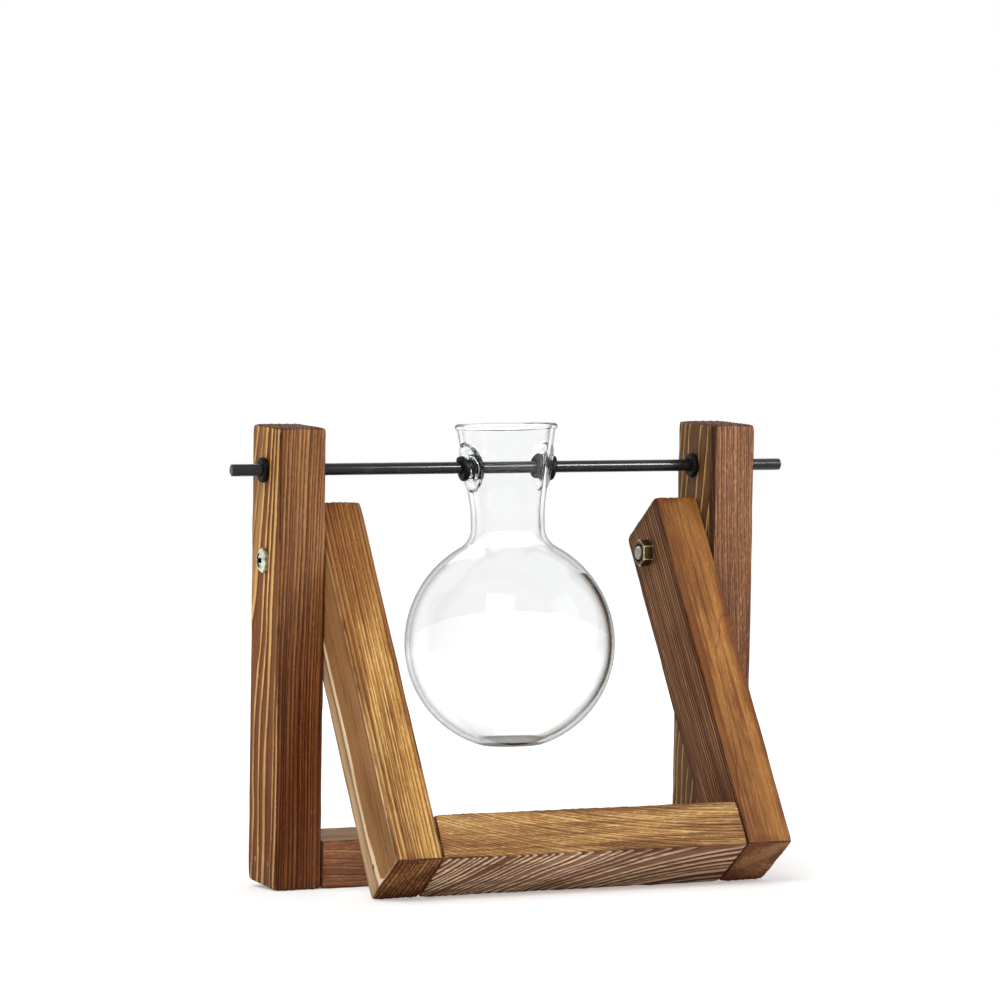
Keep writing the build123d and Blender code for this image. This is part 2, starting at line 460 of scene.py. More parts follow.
class WoodGrain:
    """The grain that a bar's mesh carries, as shader values, with the noises that follow it."""

    def __init__(self, shader: Shader, look: BrushedLook) -> None:
        """Reads the mesh's marks and lays the noises along them.

        Args:
            shader: the finish's shader.
            look: the scales and spans.
        """
        self.shader = shader
        self.place = shader.mark(Mark.PLACE, "Vector").socket
        self.side, self.cut = shader.mark(Mark.SIDE), shader.mark(Mark.END)
        self.width, self.gap = shader.mark(Mark.WIDTH), shader.mark(Mark.ARRIS)
        self.streak = shader.noise(self.place, look.streak)
        self.fibre = shader.noise(self.place, look.fibre)
        self.fleck = shader.noise(self.place, look.fleck)
        self.blotch = shader.noise(self.place, look.blotch)
        self.speck = shader.noise(self.place, look.speck).smooth(*look.speck_span)
        self.scuff = shader.noise(self.place, look.scuff).smooth(*look.scuff_span)
        self.fade = shader.noise(self.place, look.fade).smooth(*look.fade_span)

        stray = look.ring_by_streak * (self.streak - NOISE_MEAN)
        stray = stray + look.ring_by_fleck * (self.fleck - NOISE_MEAN)
        self.rings = shader.mark(Mark.RINGS) + self.width * stray
        phase = self.rings.fract()
        start, top = [RIDGE_TOP - share * self.width for share in RIDGE_RISE]
        self.crest = phase.smooth(start, top) * (1 - phase.smooth(*RIDGE_FALL))
        self.groove = (1 - phase.smooth(0.0, look.groove_width * self.width)) * (1 - self.cut)

    def chance(self, draw: float) -> Value:
        """Gives each ring a chance number of its own; another draw gives another number."""
        settings = {"noise_dimensions": "1D"}
        return self.shader.value("ShaderNodeTexWhiteNoise", settings, {"W": self.rings.floor() + draw})

    def by_face(self, front_share: float, side_share: float) -> Value:
        """Runs from the front faces' share to the side faces' share."""
        return self.side.between(front_share, side_share)


@dataclass(frozen=True)
class WoodFinish:
    """Scorched, brushed and stained softwood, with one tone on a bar's wide faces and one on its sides."""

    name: str
    front: FaceTone
    side: FaceTone
    end: str = "6b3823"
    scorched: Colour = (0.32, 0.16, 0.06, 1.0)
    char: str = "26130a"
    look: BrushedLook = BrushedLook()

    def material(self) -> bpy.types.Material:
        """Builds the finish over the bar's own grain attributes.

        Returns:
            The material.
        """
        material, shader = new_material(self.name)
        look, grain = self.look, WoodGrain(shader, self.look)
        early = shader.blend(grain.side, tint(self.front.early), tint(self.side.early))
        late = shader.blend(grain.side, tint(self.front.late), tint(self.side.late))
        wood = shader.blend(self._pale(grain), early, late)
        wood = shader.blend(grain.cut * grain.crest.between(*look.end_by_crest), wood, tint(self.end))
        tone = grain.fibre.between(*look.tone_by_fibre) * grain.streak.between(*look.tone_by_streak)
        wood = shader.shade(wood, tone * (1 - look.groove_shade * grain.groove))
        wood = shader.blend(1.0, wood, self._darkening(grain), "MULTIPLY")
        wood = shader.blend(grain.speck * look.speck_share, wood, late)
        wood = shader.blend(self._charred(grain), wood, tint(self.char))

        rough = look.roughness + look.roughness_by_fibre * (grain.fibre - NOISE_MEAN)
        height = look.bump_by_fibre * grain.fibre + look.bump_by_fleck * grain.fleck
        height = height + look.bump_by_crest * grain.crest
        sockets = {
            "Base Color": wood,
            "Roughness": rough - look.roughness_by_crest * grain.crest,
            "Specular IOR Level": look.specular,
            "Normal": shader.bump(height, look.bump_depth, look.bump_strength),
        }
        shader.show_principled(sockets)
        return material

    def _pale(self, grain: WoodGrain) -> Value:
        """Gives how far the pale wood shows: brushed ridges, raised fibres and a few pale rings.

        Args:
            grain: the bar's grain.

        Returns:
            0 for the stained wood between the ridges, 1 for a bare ridge.
        """
        look = self.look
        ridge = grain.crest * grain.chance(look.strength_draw).between(*look.ridge_by_ring)
        ridge = ridge * grain.fibre.between(*look.ridge_by_fibre)
        ridge = ridge * grain.gap.smooth(*look.ridge_reach).between(*look.ridge_by_arris)
        ridge = ridge * grain.fade.between(*look.ridge_by_fade)
        ridge = ridge * grain.by_face(self.front.ridge, self.side.ridge)
        ridge = ridge * grain.width.smooth(*look.ridge_least_width)
        fuzz = grain.fleck.smooth(*look.fuzz_span) * grain.streak.between(*look.fuzz_by_streak)
        fuzz = fuzz * grain.by_face(self.front.fuzz, self.side.fuzz)
        gold = grain.chance(look.gold_draw).smooth(*look.gold_span)
        fuzz = fuzz + gold * grain.by_face(self.front.gold, self.side.gold)
        return ridge + fuzz * (1 - ridge)

    def _charred(self, grain: WoodGrain) -> Value:
        """Gives how far the dark wood shows along rubbed arrises and on a planed edge.

        Args:
            grain: the bar's grain.

        Returns:
            Shares of the dark tone.
        """
        look = self.look
        worn = (1 - grain.gap.smooth(*look.worn_reach)) * grain.scuff.between(*look.worn_by_scuff)
        worn = worn * grain.fleck.between(*look.worn_by_fleck)
        planed = (0 - grain.gap).smooth(*look.planed_span) * grain.streak.between(*look.planed_by_streak)
        return worn.larger(planed)

    def _darkening(self, grain: WoodGrain) -> bpy.types.NodeSocket:
        """Gives how much darker the wood is along the bar, and in feathered scorched patches.

        Args:
            grain: the bar's grain.

        Returns:
            White for bare stain, the scorched tone where the wood is darkened all through.
        """
        look, shader = self.look, grain.shader
        stray = look.scorch_by_streak * (grain.streak - NOISE_MEAN)
        stray = stray + look.scorch_by_fibre * (grain.fibre - NOISE_MEAN)
        along = shader.value("ShaderNodeSeparateXYZ", {}, {0: grain.place})
        share = along * (1 / GRAIN_SPAN) + look.darkening_stray * stray
        runs = []
        for tone in (self.front, self.side):
            stops = [(at, (spared, spared, spared, 1.0)) for at, spared in tone.spared_along]
            runs.append(shader.value("ShaderNodeValToRGB", {"stops": stops}, {"Fac": share}))
        run = runs[0] + (runs[1] - runs[0]) * grain.side
        edge = grain.by_face(self.front.edge, self.side.edge) * (1 - grain.gap.smooth(*look.scorch_reach))
        char = grain.by_face(self.front.char, self.side.char)
        patch = (grain.blotch + stray - edge).smooth(*look.scorch_span)
        return shader.blend(run * (1 - char * (1 - patch)), self.scorched, WHITE)


@dataclass(frozen=True)
class GlassFinish:
    """Clear blown glass with a faint grey cast, and painted grey shade where the wall is seen edge on.

    gloss tints its mirroring seen straight on, cast and cast_density say what the wall absorbs, edge is the
    painted shade of glass seen aslant over edge_span, edge_shade_share how much of the mirroring that painted
    shade hides there, and lamp_tint what light keeps on its way through.
    """

    name: str = "clear_blown_glass"
    index: float = 1.47
    gloss: Colour = (0.3, 0.3, 0.3, 1.0)
    cast: str = "b9c4c2"
    cast_density: float = 44.0
    edge: str = "7c8381"
    edge_span: Span = (0.6, 1.0)
    edge_shade_share: float = 0.6
    lamp_tint: str = "eef2f1"

    def material(self) -> bpy.types.Material:
        """Builds glass that lets lamps through, with painted grey shade edge on, and its cast as a volume.

        Returns:
            The material.
        """
        material, shader = new_material(self.name)
        # Painted grey shade where the wall is seen edge on: a grey colour and a grey layer over the gloss.
        aslant = shader.value("ShaderNodeLayerWeight", {}, {}, "Facing").smooth(*self.edge_span)
        sockets = {
            "Base Color": shader.blend(aslant, WHITE, tint(self.edge)),
            "Roughness": 0.0,
            "IOR": self.index,
            "Specular Tint": self.gloss,
            "Transmission Weight": 1.0,
        }
        glass = shader.node("ShaderNodeBsdfPrincipled", {}, sockets)
        edge_shade = shader.node("ShaderNodeBsdfTransparent", {}, {"Color": tint(self.edge)})
        sockets = {0: aslant * self.edge_shade_share, 1: glass.outputs[0], 2: edge_shade.outputs[0]}
        edge_shaded = shader.node("ShaderNodeMixShader", {}, sockets)
        clear = shader.node("ShaderNodeBsdfTransparent", {}, {"Color": tint(self.lamp_tint)})
        lamp_ray = shader.node("ShaderNodeLightPath").outputs["Is Shadow Ray"]
        sockets = {0: lamp_ray, 1: edge_shaded.outputs[0], 2: clear.outputs[0]}
        mixed = shader.node("ShaderNodeMixShader", {}, sockets)
        cast = {"Color": tint(self.cast), "Density": self.cast_density}
        shader.show(mixed, shader.node("ShaderNodeVolumeAbsorption", {}, cast))
        return material


@dataclass(frozen=True)
class RubberFinish:
    """Matt black rubber with a faint bloom of dust and a fine moulded grit."""

    name: str = "black_rubber"
    black: str = "080808"
    bloom: str = "171717"
    dust: NoiseScale = NoiseScale.even(420.0, 3.0)
    bloom_span: Span = (0.45, 0.8)
    grit: NoiseScale = NoiseScale.even(3200.0, 1.0)
    roughness_by_dust: Span = (0.45, 0.65)
    specular: float = 0.1
    bump_depth: float = 0.05 * MM
    bump_strength: float = 0.25

    def material(self) -> bpy.types.Material:
        """Builds the rubber over Object coordinates.

        Returns:
            The material.
        """
        material, shader = new_material(self.name)
        place = shader.object_place()
        dust, grit = shader.noise(place, self.dust), shader.noise(place, self.grit)
        sockets = {
            "Base Color": shader.blend(dust.smooth(*self.bloom_span), tint(self.black), tint(self.bloom)),
            "Roughness": dust.between(*self.roughness_by_dust),
            "Specular IOR Level": self.specular,
            "Normal": shader.bump(grit, self.bump_depth, self.bump_strength),
        }
        shader.show_principled(sockets)
        return material


@dataclass(frozen=True)
class BlackSteelFinish:
    """Satin black coated steel with fine drawn scratches along the rod."""

    name: str = "satin_black_steel"
    black: str = "1e1e1e"
    worn: str = "44433f"
    drawn: NoiseScale = NoiseScale((35.0, 2600.0, 2600.0), 2.0)
    patch: NoiseScale = NoiseScale((160.0, 260.0, 260.0), 3.0)
    worn_span: Span = (0.55, 0.85)
    roughness_by_patch: Span = (0.16, 0.28)
    specular: float = 0.24
    bump_depth: float = 0.02 * MM
    bump_strength: float = 0.3

    def material(self) -> bpy.types.Material:
        """Builds the coating over Object coordinates.

        Returns:
            The material.
        """
        material, shader = new_material(self.name)
        place = shader.object_place()
        drawn, patch = shader.noise(place, self.drawn), shader.noise(place, self.patch)
        worn = patch.smooth(*self.worn_span) * drawn
        sockets = {
            "Base Color": shader.blend(worn, tint(self.black), tint(self.worn)),
            "Roughness": patch.between(*self.roughness_by_patch),
            "Specular IOR Level": self.specular,
            "Normal": shader.bump(drawn, self.bump_depth, self.bump_strength),
        }
        shader.show_principled(sockets)
        return material


@dataclass(frozen=True)
class PlatedFinish:
    """Zinc plate, from bright to a dull yellow passivation, with painted shade and painted highlights.

    dull_share moves the span over which the plate's clouds turn dull. The mesh's soil mark runs from
    -1, a worn edge painted as a highlight, to 1, painted shade in a hollow; on a bolt's tip it only darkens.
    """

    name: str
    bright: str
    dull: str
    dull_share: float
    soil: str = "14120d"
    worn_highlight: str = "efe6c4"
    worn_highlight_span: Span = (0.3, 1.0)
    cloud: NoiseScale = NoiseScale.even(380.0, 3.0)
    dull_span: Span = (0.65, 0.95)
    dull_shift: float = 0.5
    grit: NoiseScale = NoiseScale.even(2400.0, 2.0)
    roughness: float = 0.22
    roughness_by_dull: float = 0.18
    roughness_by_grit: float = 0.08
    roughness_by_shade: float = 0.3
    bump_depth: float = 0.03 * MM
    bump_strength: float = 0.2

    def material(self) -> bpy.types.Material:
        """Builds the plate over Object coordinates, with cloudy patches and fine turning marks.

        Returns:
            The material.
        """
        material, shader = new_material(self.name)
        place = shader.object_place()
        cloud, grit = shader.noise(place, self.cloud), shader.noise(place, self.grit)
        soil = shader.mark(Mark.SOIL)
        dull = cloud.smooth(*[end - self.dull_shift * self.dull_share for end in self.dull_span])
        plate = shader.blend(dull, tint(self.bright), tint(self.dull))
        # Worn edges painted as bright highlights, where the mark is below 0.
        plate = shader.blend((0 - soil).smooth(*self.worn_highlight_span), plate, tint(self.worn_highlight))
        # Painted shade where the mark is above 0; on a bolt's tip only a darker tone.
        shade_share = soil.larger(0.0)
        rough = self.roughness + self.roughness_by_dull * dull + self.roughness_by_grit * grit
        sockets = {
            "Base Color": shader.blend(shade_share, plate, tint(self.soil)),
            "Metallic": 1.0,
            "Roughness": rough + self.roughness_by_shade * shade_share,
            "Normal": shader.bump(grit, self.bump_depth, self.bump_strength),
        }
        shader.show_principled(sockets)
        return material


@dataclass(frozen=True)
class FloorFinish:
    """Plain white floor that keeps a soft shadow and clears to white in front of the lens and in glass."""

    name: str = "white_floor"
    white: str = "f4f4f4"
    roughness: float = 0.9
    lift_by_reach: Span = (0.3, 0.62)
    reach_span: Span = (0.25, 1.4)

    def material(self) -> bpy.types.Material:
        """Builds the floor, lifted to white only for rays that look at it, and more where the lamps fall off.

        Returns:
            The material.
        """
        material, shader = new_material(self.name)
        settings = {"operation": "LENGTH"}
        reach = shader.value("ShaderNodeVectorMath", settings, {0: shader.object_place()}, "Value")
        lift = looking_ray(shader) * reach.smooth(*self.reach_span).between(*self.lift_by_reach)
        sockets = {
            "Base Color": tint(self.white),
            "Roughness": self.roughness,
            "Specular IOR Level": 0.0,
            "Emission Color": shader.blend(lift, BLACK, WHITE),
            "Emission Strength": 1.0,
        }
        shader.show_principled(sockets)
        return material


def looking_ray(shader: Shader) -> Value:
    """Tells rays that look from rays that light.

    Args:
        shader: the shader that asks.

    Returns:
        1 for rays from the lens, from gloss and through glass.
    """
    path = shader.node("ShaderNodeLightPath")
    names = ("Is Camera Ray", "Is Glossy Ray", "Is Transmission Ray")
    camera, gloss, glass = [Value(shader, path.outputs[name]) for name in names]
    return camera.larger(gloss).larger(glass)


def finish_piece(
    name: str,
    mesh: bpy.types.Mesh,
    material: bpy.types.Material,
    body: str,
    replaced: Iterable[str],
) -> bpy.types.Object:
    """Makes a finished mesh a piece of the object.

    Args:
        name: the piece's name.
        mesh: its mesh, in the frame's own place.
        material: its finish.
        body: the body that it rides on.
        replaced: the nodes that it stands for.

    Returns:
        The piece.
    """
    mesh.materials.clear()
    mesh.materials.append(material)
    mesh.shade_smooth()
    piece = bpy.data.objects.new(name, mesh)
    bpy.context.scene.collection.objects.link(piece)
    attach(piece, body)
    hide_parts(*replaced)
    LOG.info("%s: %d faces on %s", name, len(mesh.polygons), body)
    return piece


def mesh_of(shape: bmesh.types.BMesh, name: str) -> bpy.types.Mesh:
    """Writes a bmesh to a new mesh and frees it.

    Args:
        shape: the finished bmesh.
        name: the mesh's name.

    Returns:
        The mesh.
    """
    mesh = bpy.data.meshes.new(name)
    shape.to_mesh(mesh)
    shape.free()
    return mesh


def spun(outline: Sequence[Place], steps: int) -> bmesh.types.BMesh:
    """Turns an outline about the X axis.

    Args:
        outline: places along X with their radius, in order; it closes on itself unless it starts on the axis.
        steps: how many steps the turn has.

    Returns:
        The turned shape, closed and facing outwards.
    """
    shape = bmesh.new()
    points = [shape.verts.new((x, radius, 0.0)) for x, radius in outline]
    lines = [shape.edges.new(pair) for pair in zip(points, points[1:])]
    if outline[0][1] > 0:
        lines.append(shape.edges.new((points[-1], points[0])))
    turn = {"cent": (0, 0, 0), "axis": (1, 0, 0), "angle": FULL_TURN, "steps": steps}
    bmesh.ops.spin(shape, geom=points + lines, use_merge=True, **turn)
    bmesh.ops.remove_doubles(shape, verts=shape.verts, dist=MERGE_REACH)
    bmesh.ops.recalc_face_normals(shape, faces=shape.faces)
    return shape


def arc(centre: Place, radius: float, start: float, end: float, steps: int) -> list[Place]:
    """Places along an arc.

    Args:
        centre: the arc's centre.
        radius: its radius.
        start: first angle, in radians.
        end: last angle, in radians.
        steps: how many steps it has.

    Returns:
        The places, both ends among them.
    """
    angles = [start + (end - start) * step / steps for step in range(steps + 1)]
    return [(centre[0] + radius * math.cos(a), centre[1] + radius * math.sin(a)) for a in angles]


@dataclass
class LeanFrame:
    """One of the two wooden frames: where its own upright axes stand in the row frame."""

    body: str
    pivot: Vector
    lean: float

    def place(self) -> Matrix:
        """Gives the matrix from the frame's own upright axes, about the pivot, to the row frame."""
        return Matrix.Translation(self.pivot) @ Matrix.Rotation(self.lean, 4, "X")

    def box(self, node: bpy.types.Object) -> tuple[Vector, Vector]:
        """Measures a node along the frame's own axes.

        Args:
            node: a CAD node of this frame.

        Returns:
            Its lowest and highest corner about the pivot.
        """
        back = self.place().inverted()
        corners = np.array([back @ v.co for v in node.data.vertices])
        return Vector(corners.min(0)), Vector(corners.max(0))


@dataclass(frozen=True)
class Grain:
    """Growth rings through a bar, in millimetres along it, across its narrow side and through its wide side.

    spacing is the rings' distance, heart where their middle lies across and through the bar, climb how fast
    they rise along it at its low end, ease the share of that which dies out along its length, wander how far
    they wave, line how wide a ridge is and seed what sets one bar's waves apart from the next. Waves have a
    height for a wander of 1 and their lengths, swells a height in rings and turns in radians for each ring,
    and ridge_shares are the least and the most of a ring that a ridge takes.
    """

    spacing: float
    heart: Place
    climb: float = 0.0
    ease: float = 0.0
    wander: float = 0.5
    line: float = 0.7
    seed: float = 0.0
    long_height: float = 2.2
    long_wave: Pitch = (58.0, 19.0, 19.0)
    short_height: float = 0.45
    short_wave: Pitch = (17.0, 6.0, 6.0)
    slow_swell: Place = (0.3, 0.9)
    fast_swell: Place = (0.15, 2.3)
    ridge_shares: Span = (0.03, 0.45)
    probe: float = 0.3
    seed_stride: float = 7.3

    def rings(self, spots: np.ndarray) -> np.ndarray:
        """Counts the rings out to each place.

        Args:
            spots: places along, across and through the bar, one row each.

        Returns:
            Rings from the heart, with fractions.
        """
        along, across, deep = spots.T
        reach = np.hypot(across - self.heart[0], deep - self.heart[1])
        reach += self.climb * along * (1 - self.ease * along / (2 * along.max()))
        reach += self.long_height * self.wander * self.waves(spots, self.long_wave)
        reach += self.short_height * self.wander * self.waves(spots, self.short_wave)
        count = reach / self.spacing + self.seed
        (slow_height, slow), (fast_height, fast) = self.slow_swell, self.fast_swell
        swelled = count + slow_height * np.sin(slow * count + self.seed)
        return swelled + fast_height * np.sin(fast * count - self.seed)

    def widths(self, spots: np.ndarray, facing: np.ndarray, rings: np.ndarray) -> np.ndarray:
        """Gives the share of a ring that its ridge takes, so that a ridge is as wide on every face.

        Args:
            spots: places along, across and through the bar.
            facing: the surface's direction at each.
            rings: the rings at each.

        Returns:
            Shares of a ring.
        """
        slopes = [self.rings(spots + self.probe * unit) - rings for unit in np.eye(3)]
        slope = np.stack(slopes, axis=1) / self.probe
        slope -= facing * np.sum(slope * facing, axis=1)[:, None]
        return np.clip(self.line * np.linalg.norm(slope, axis=1), *self.ridge_shares)

    def waves(self, spots: np.ndarray, lengths: Pitch) -> np.ndarray:
        """Gives smooth noise at each place, with waves of those lengths along, across and through the bar."""
        scaled = spots / np.array(lengths) + self.seed_stride * self.seed
        return np.array([noise.noise(spot) for spot in scaled.tolist()])


@dataclass
class Bar:
    """One bar of a frame: softened arrises, brushed ridges along its rings and sawn ends.

    bores holds the height over the pivot and the radius of each hole along X. planed_edge names the two faces
    beside a planed arris by their sign, across and through the bar. Spans are of a direction's share along an
    axis, and reaches are distances from the faces in millimetres.
    """

    node: str
    frame: LeanFrame
    lie: Lie
    slot: str
    grain: Grain
    finish: WoodFinish
    bores: tuple[tuple[float, float], ...] = ()
    planed_edge: tuple[int, int] | None = None
    arris_round: float = 1.0 * MM
    arris_steps: int = 3
    arris_angle: float = math.radians(60.0)
    planed_width: float = 2.2 * MM
    planed_cuts: int = 6
    slanted_most: float = 0.9
    straight_least: float = 0.999
    cell_along: float = 1.6 * MM
    cell_across: float = 0.34 * MM
    end_span: Span = (0.6, 0.9)
    side_span: Span = (0.55, 0.85)
    arris_span: Span = (0.3, 0.6)
    planed_span: Span = (0.4, 0.6)
    ridge_relief: float = 0.14 * MM
    saw_relief: float = 0.4 * MM
    saw_level: float = 0.5
    saw_waves: tuple[Pitch, ...] = ((0.28, 3.1, 0.4), (0.22, 1.37, 2.1))
    wear_wave: Pitch = (13.0, 7.0, 7.0)
    wear_span: Span = (-0.35, 0.45)
    arris_wear: float = 0.16 * MM
    arris_reach: Span = (0.2, 1.7)
    corner_wear: float = 0.3 * MM
    corner_near_reach: Span = (0.5, 2.6)
    corner_far_reach: Span = (0.5, 3.2)
    bore_overrun: float = 2.0 * MM
    bore_steps: int = 48
    low: Vector = field(init=False)
    high: Vector = field(init=False)

    def build(self, node: bpy.types.Object) -> bpy.types.Object:
        """Builds the bar where its CAD node lies.

        Args:
            node: the CAD node.

        Returns:
            The piece.
        """
        self.low, self.high = self.frame.box(node)
        shape = self._block()
        self._divide(shape)
        mesh = mesh_of(shape, self.node)
        for hole in self.bores:
            mesh = self._bored(mesh, hole)
        self._brush(mesh)
        mesh.transform(self.frame.place())
        name = f"{self.node}_timber"
        return finish_piece(name, mesh, self.finish.material(), self.frame.body, [self.node])

    def _block(self) -> bmesh.types.BMesh:
        """Makes the block with its arrises softened and one of them planed where the bar has that.

        Returns:
            The block, in the frame's own axes.
        """
        shape = bmesh.new()
        bmesh.ops.create_cube(shape, size=1.0)
        bmesh.ops.scale(shape, vec=self.high - self.low, verts=shape.verts)
        bmesh.ops.translate(shape, vec=(self.low + self.high) / 2, verts=shape.verts)
        bevel = {"affect": "EDGES", "profile": 0.5, "material": -1}
        if self.planed_edge is not None:
            edges = [edge for edge in shape.edges if self._is_planed(edge)]
            bmesh.ops.bevel(shape, geom=edges, offset=self.planed_width, segments=1, **bevel)
        edges = [edge for edge in shape.edges if edge.calc_face_angle() > self.arris_angle]
        bmesh.ops.bevel(shape, geom=edges, offset=self.arris_round, segments=self.arris_steps, **bevel)
        return shape

    def _is_planed(self, edge: bmesh.types.BMEdge) -> bool:
        """Tells whether an edge is the one that is planed.

        Args:
            edge: an edge of the square block.

        Returns:
            True between the two faces that planed_edge names.
        """
        _, across, deep = self.lie.value
        middle = (edge.verts[0].co + edge.verts[1].co) / 2 - (self.low + self.high) / 2
        reach = (self.high - self.low) / 2
        signs = [round(middle[axis] / reach[axis]) for axis in (across, deep)]
        return tuple(signs) == self.planed_edge

    def _is_slanted(self, edge: bmesh.types.BMEdge) -> bool:
        """Tells whether an edge runs across the planed face.

        Args:
            edge: an edge of the softened block.

        Returns:
            True for an edge at least as long as that face is wide and along none of the axes.
        """
        run = edge.verts[1].co - edge.verts[0].co
        straightest = max(abs(part) for part in run.normalized())
        return run.length > self.planed_width and straightest < self.slanted_most

    def _divide(self, shape: bmesh.types.BMesh) -> None:
        """Cuts the long edges along each axis into cells fine enough for the ridges.

        Args:
            shape: the block.
        """
        slanted = [edge for edge in shape.edges if self._is_slanted(edge)]
        bmesh.ops.subdivide_edges(shape, edges=slanted, cuts=self.planed_cuts, use_grid_fill=True)
        for axis in self.lie.value:
            cell = self.cell_along if axis == self.lie.value[0] else self.cell_across
            unit = Vector([float(axis == other) for other in range(3)])
            edges = []
            for edge in shape.edges:
                run = edge.verts[1].co - edge.verts[0].co
                straight = abs(run.normalized().dot(unit)) > self.straight_least
                if straight and run.length > 2 * self.arris_round:
                    edges.append(edge)
            length = (self.high - self.low)[axis]
            bmesh.ops.subdivide_edges(shape, edges=edges, cuts=round(length / cell), use_grid_fill=True)

    def _bored(self, mesh: bpy.types.Mesh, hole: tuple[float, float]) -> bpy.types.Mesh:
        """Bores a hole through the bar along X.

        Args:
            mesh: the bar so far.
            hole: its height over the pivot and its radius.

        Returns:
            The bored mesh.
        """
        height, radius = hole
        start, end = self.low.x - self.bore_overrun, self.high.x + self.bore_overrun
        drill = spun([(start, 0.0), (start, radius), (end, radius), (end, 0.0)], self.bore_steps)
        bmesh.ops.translate(drill, vec=(0, 0, height), verts=drill.verts)
        cutter = bpy.data.objects.new("drill", mesh_of(drill, "drill"))
        blank = bpy.data.objects.new("blank", mesh)
        for piece in (cutter, blank):
            bpy.context.scene.collection.objects.link(piece)
        cut = blank.modifiers.new("bore", "BOOLEAN")
        cut.object, cut.operation, cut.solver = cutter, "DIFFERENCE", "EXACT"
        seen = blank.evaluated_get(bpy.context.evaluated_depsgraph_get())
        bored = bpy.data.meshes.new_from_object(seen)
        bpy.data.objects.remove(cutter)
        bpy.data.objects.remove(blank)
        return bored

    def _brush(self, mesh: bpy.types.Mesh) -> None:
        """Sinks the soft wood between the ridges, saws the ends and keeps the grain as attributes.

        Args:
            mesh: the bored bar, in the frame's own axes.
        """
        spots, facing = self._read(mesh, "co"), self._read(mesh, "normal")
        order = list(self.lie.value)
        low, high = np.array(self.low)[order], np.array(self.high)[order]
        within, normal = spots[:, order], facing[:, order]
        origin = np.array([low[0], (low[1] + high[1]) / 2, (low[2] + high[2]) / 2])
        place = (within - origin) / MM
        rings = self.grain.rings(place)
        width = self.grain.widths(place, normal, rings)
        end = smooth_step(*self.end_span, np.abs(normal[:, 0]))
        side = smooth_step(*self.side_span, np.abs(normal[:, 1]))
        gaps = np.sort(np.minimum(within - low, high - within), axis=1) / MM
        aslant = np.sort(np.abs(normal), axis=1)[:, 1]
        arris = gaps[:, 1] * (1 - smooth_step(*self.arris_span, aslant))
        if self.planed_edge is not None:
            planed = normal[:, 1:] * np.array(self.planed_edge)
            arris -= smooth_step(*self.planed_span, planed.min(axis=1))

        sunk = self.ridge_relief * (1 - self._ridge(rings, width)) * (1 - end) + self._wear(place, gaps)
        sunk += self.saw_relief * end * self._sawn(place)
        spots -= facing * sunk[:, None]
        mesh.vertices.foreach_set("co", spots.astype(np.float32).ravel())
        self._keep(mesh, Mark.PLACE, "FLOAT_VECTOR", "vector", place)
        shares = {Mark.RINGS: rings, Mark.WIDTH: width, Mark.SIDE: side, Mark.END: end, Mark.ARRIS: arris}
        for mark, values in shares.items():
            self._keep(mesh, mark, "FLOAT", "value", values)
        mesh.update()

    @staticmethod
    def _read(mesh: bpy.types.Mesh, word: str) -> np.ndarray:
        """Reads one vector of each of a mesh's points.

        Args:
            mesh: the mesh.
            word: which vector, co or normal.

        Returns:
            The vectors, one row each.
        """
        flat = np.empty(3 * len(mesh.vertices), np.float32)
        mesh.vertices.foreach_get(word, flat)
        return flat.reshape(-1, 3).astype(float)

    @staticmethod
    def _ridge(rings: np.ndarray, width: np.ndarray) -> np.ndarray:
        """Gives the height of the brushed ridges.

        Args:
            rings: the rings at each place.
            width: the share of a ring that its ridge takes there.

        Returns:
            0 in the soft wood, 1 on a ridge.
        """
        phase = rings - np.floor(rings)
        start, top = [RIDGE_TOP - share * width for share in RIDGE_RISE]
        return smooth_step(start, top, phase) * (1 - smooth_step(*RIDGE_FALL, phase))

    def _sawn(self, place: np.ndarray) -> np.ndarray:
        """Gives the uneven face that the saw leaves on an end.

        Args:
            place: places along, across and through the bar, in millimetres.

        Returns:
            Shares of the saw's relief.
        """
        _, across, deep = place.T
        sawn = np.full(len(place), self.saw_level)
        for height, by_deep, by_across in self.saw_waves:
            sawn += height * np.sin(by_deep * deep + by_across * across)
        return sawn

    def _wear(self, place: np.ndarray, gaps: np.ndarray) -> np.ndarray:
        """Rubs the arrises down unevenly, and the corners more.

        Args:
            place: places along, across and through the bar, in millimetres.
            gaps: distances of each to the nearest faces, the smallest first.

        Returns:
            How deep each place is rubbed.
        """
        uneven = smooth_step(*self.wear_span, self.grain.waves(place, self.wear_wave))
        arris = self.arris_wear * uneven * (1 - smooth_step(*self.arris_reach, gaps[:, 1]))
        corner = 1 - smooth_step(*self.corner_near_reach, gaps[:, 1])
        corner *= 1 - smooth_step(*self.corner_far_reach, gaps[:, 2])
        return arris + self.corner_wear * corner

    @staticmethod
    def _keep(mesh: bpy.types.Mesh, mark: Mark, kind: str, word: str, values: np.ndarray) -> None:
        """Writes one attribute on the mesh's points."""
        attribute = mesh.attributes.new(mark.value, kind, "POINT")
        attribute.data.foreach_set(word, values.astype(np.float32).ravel())


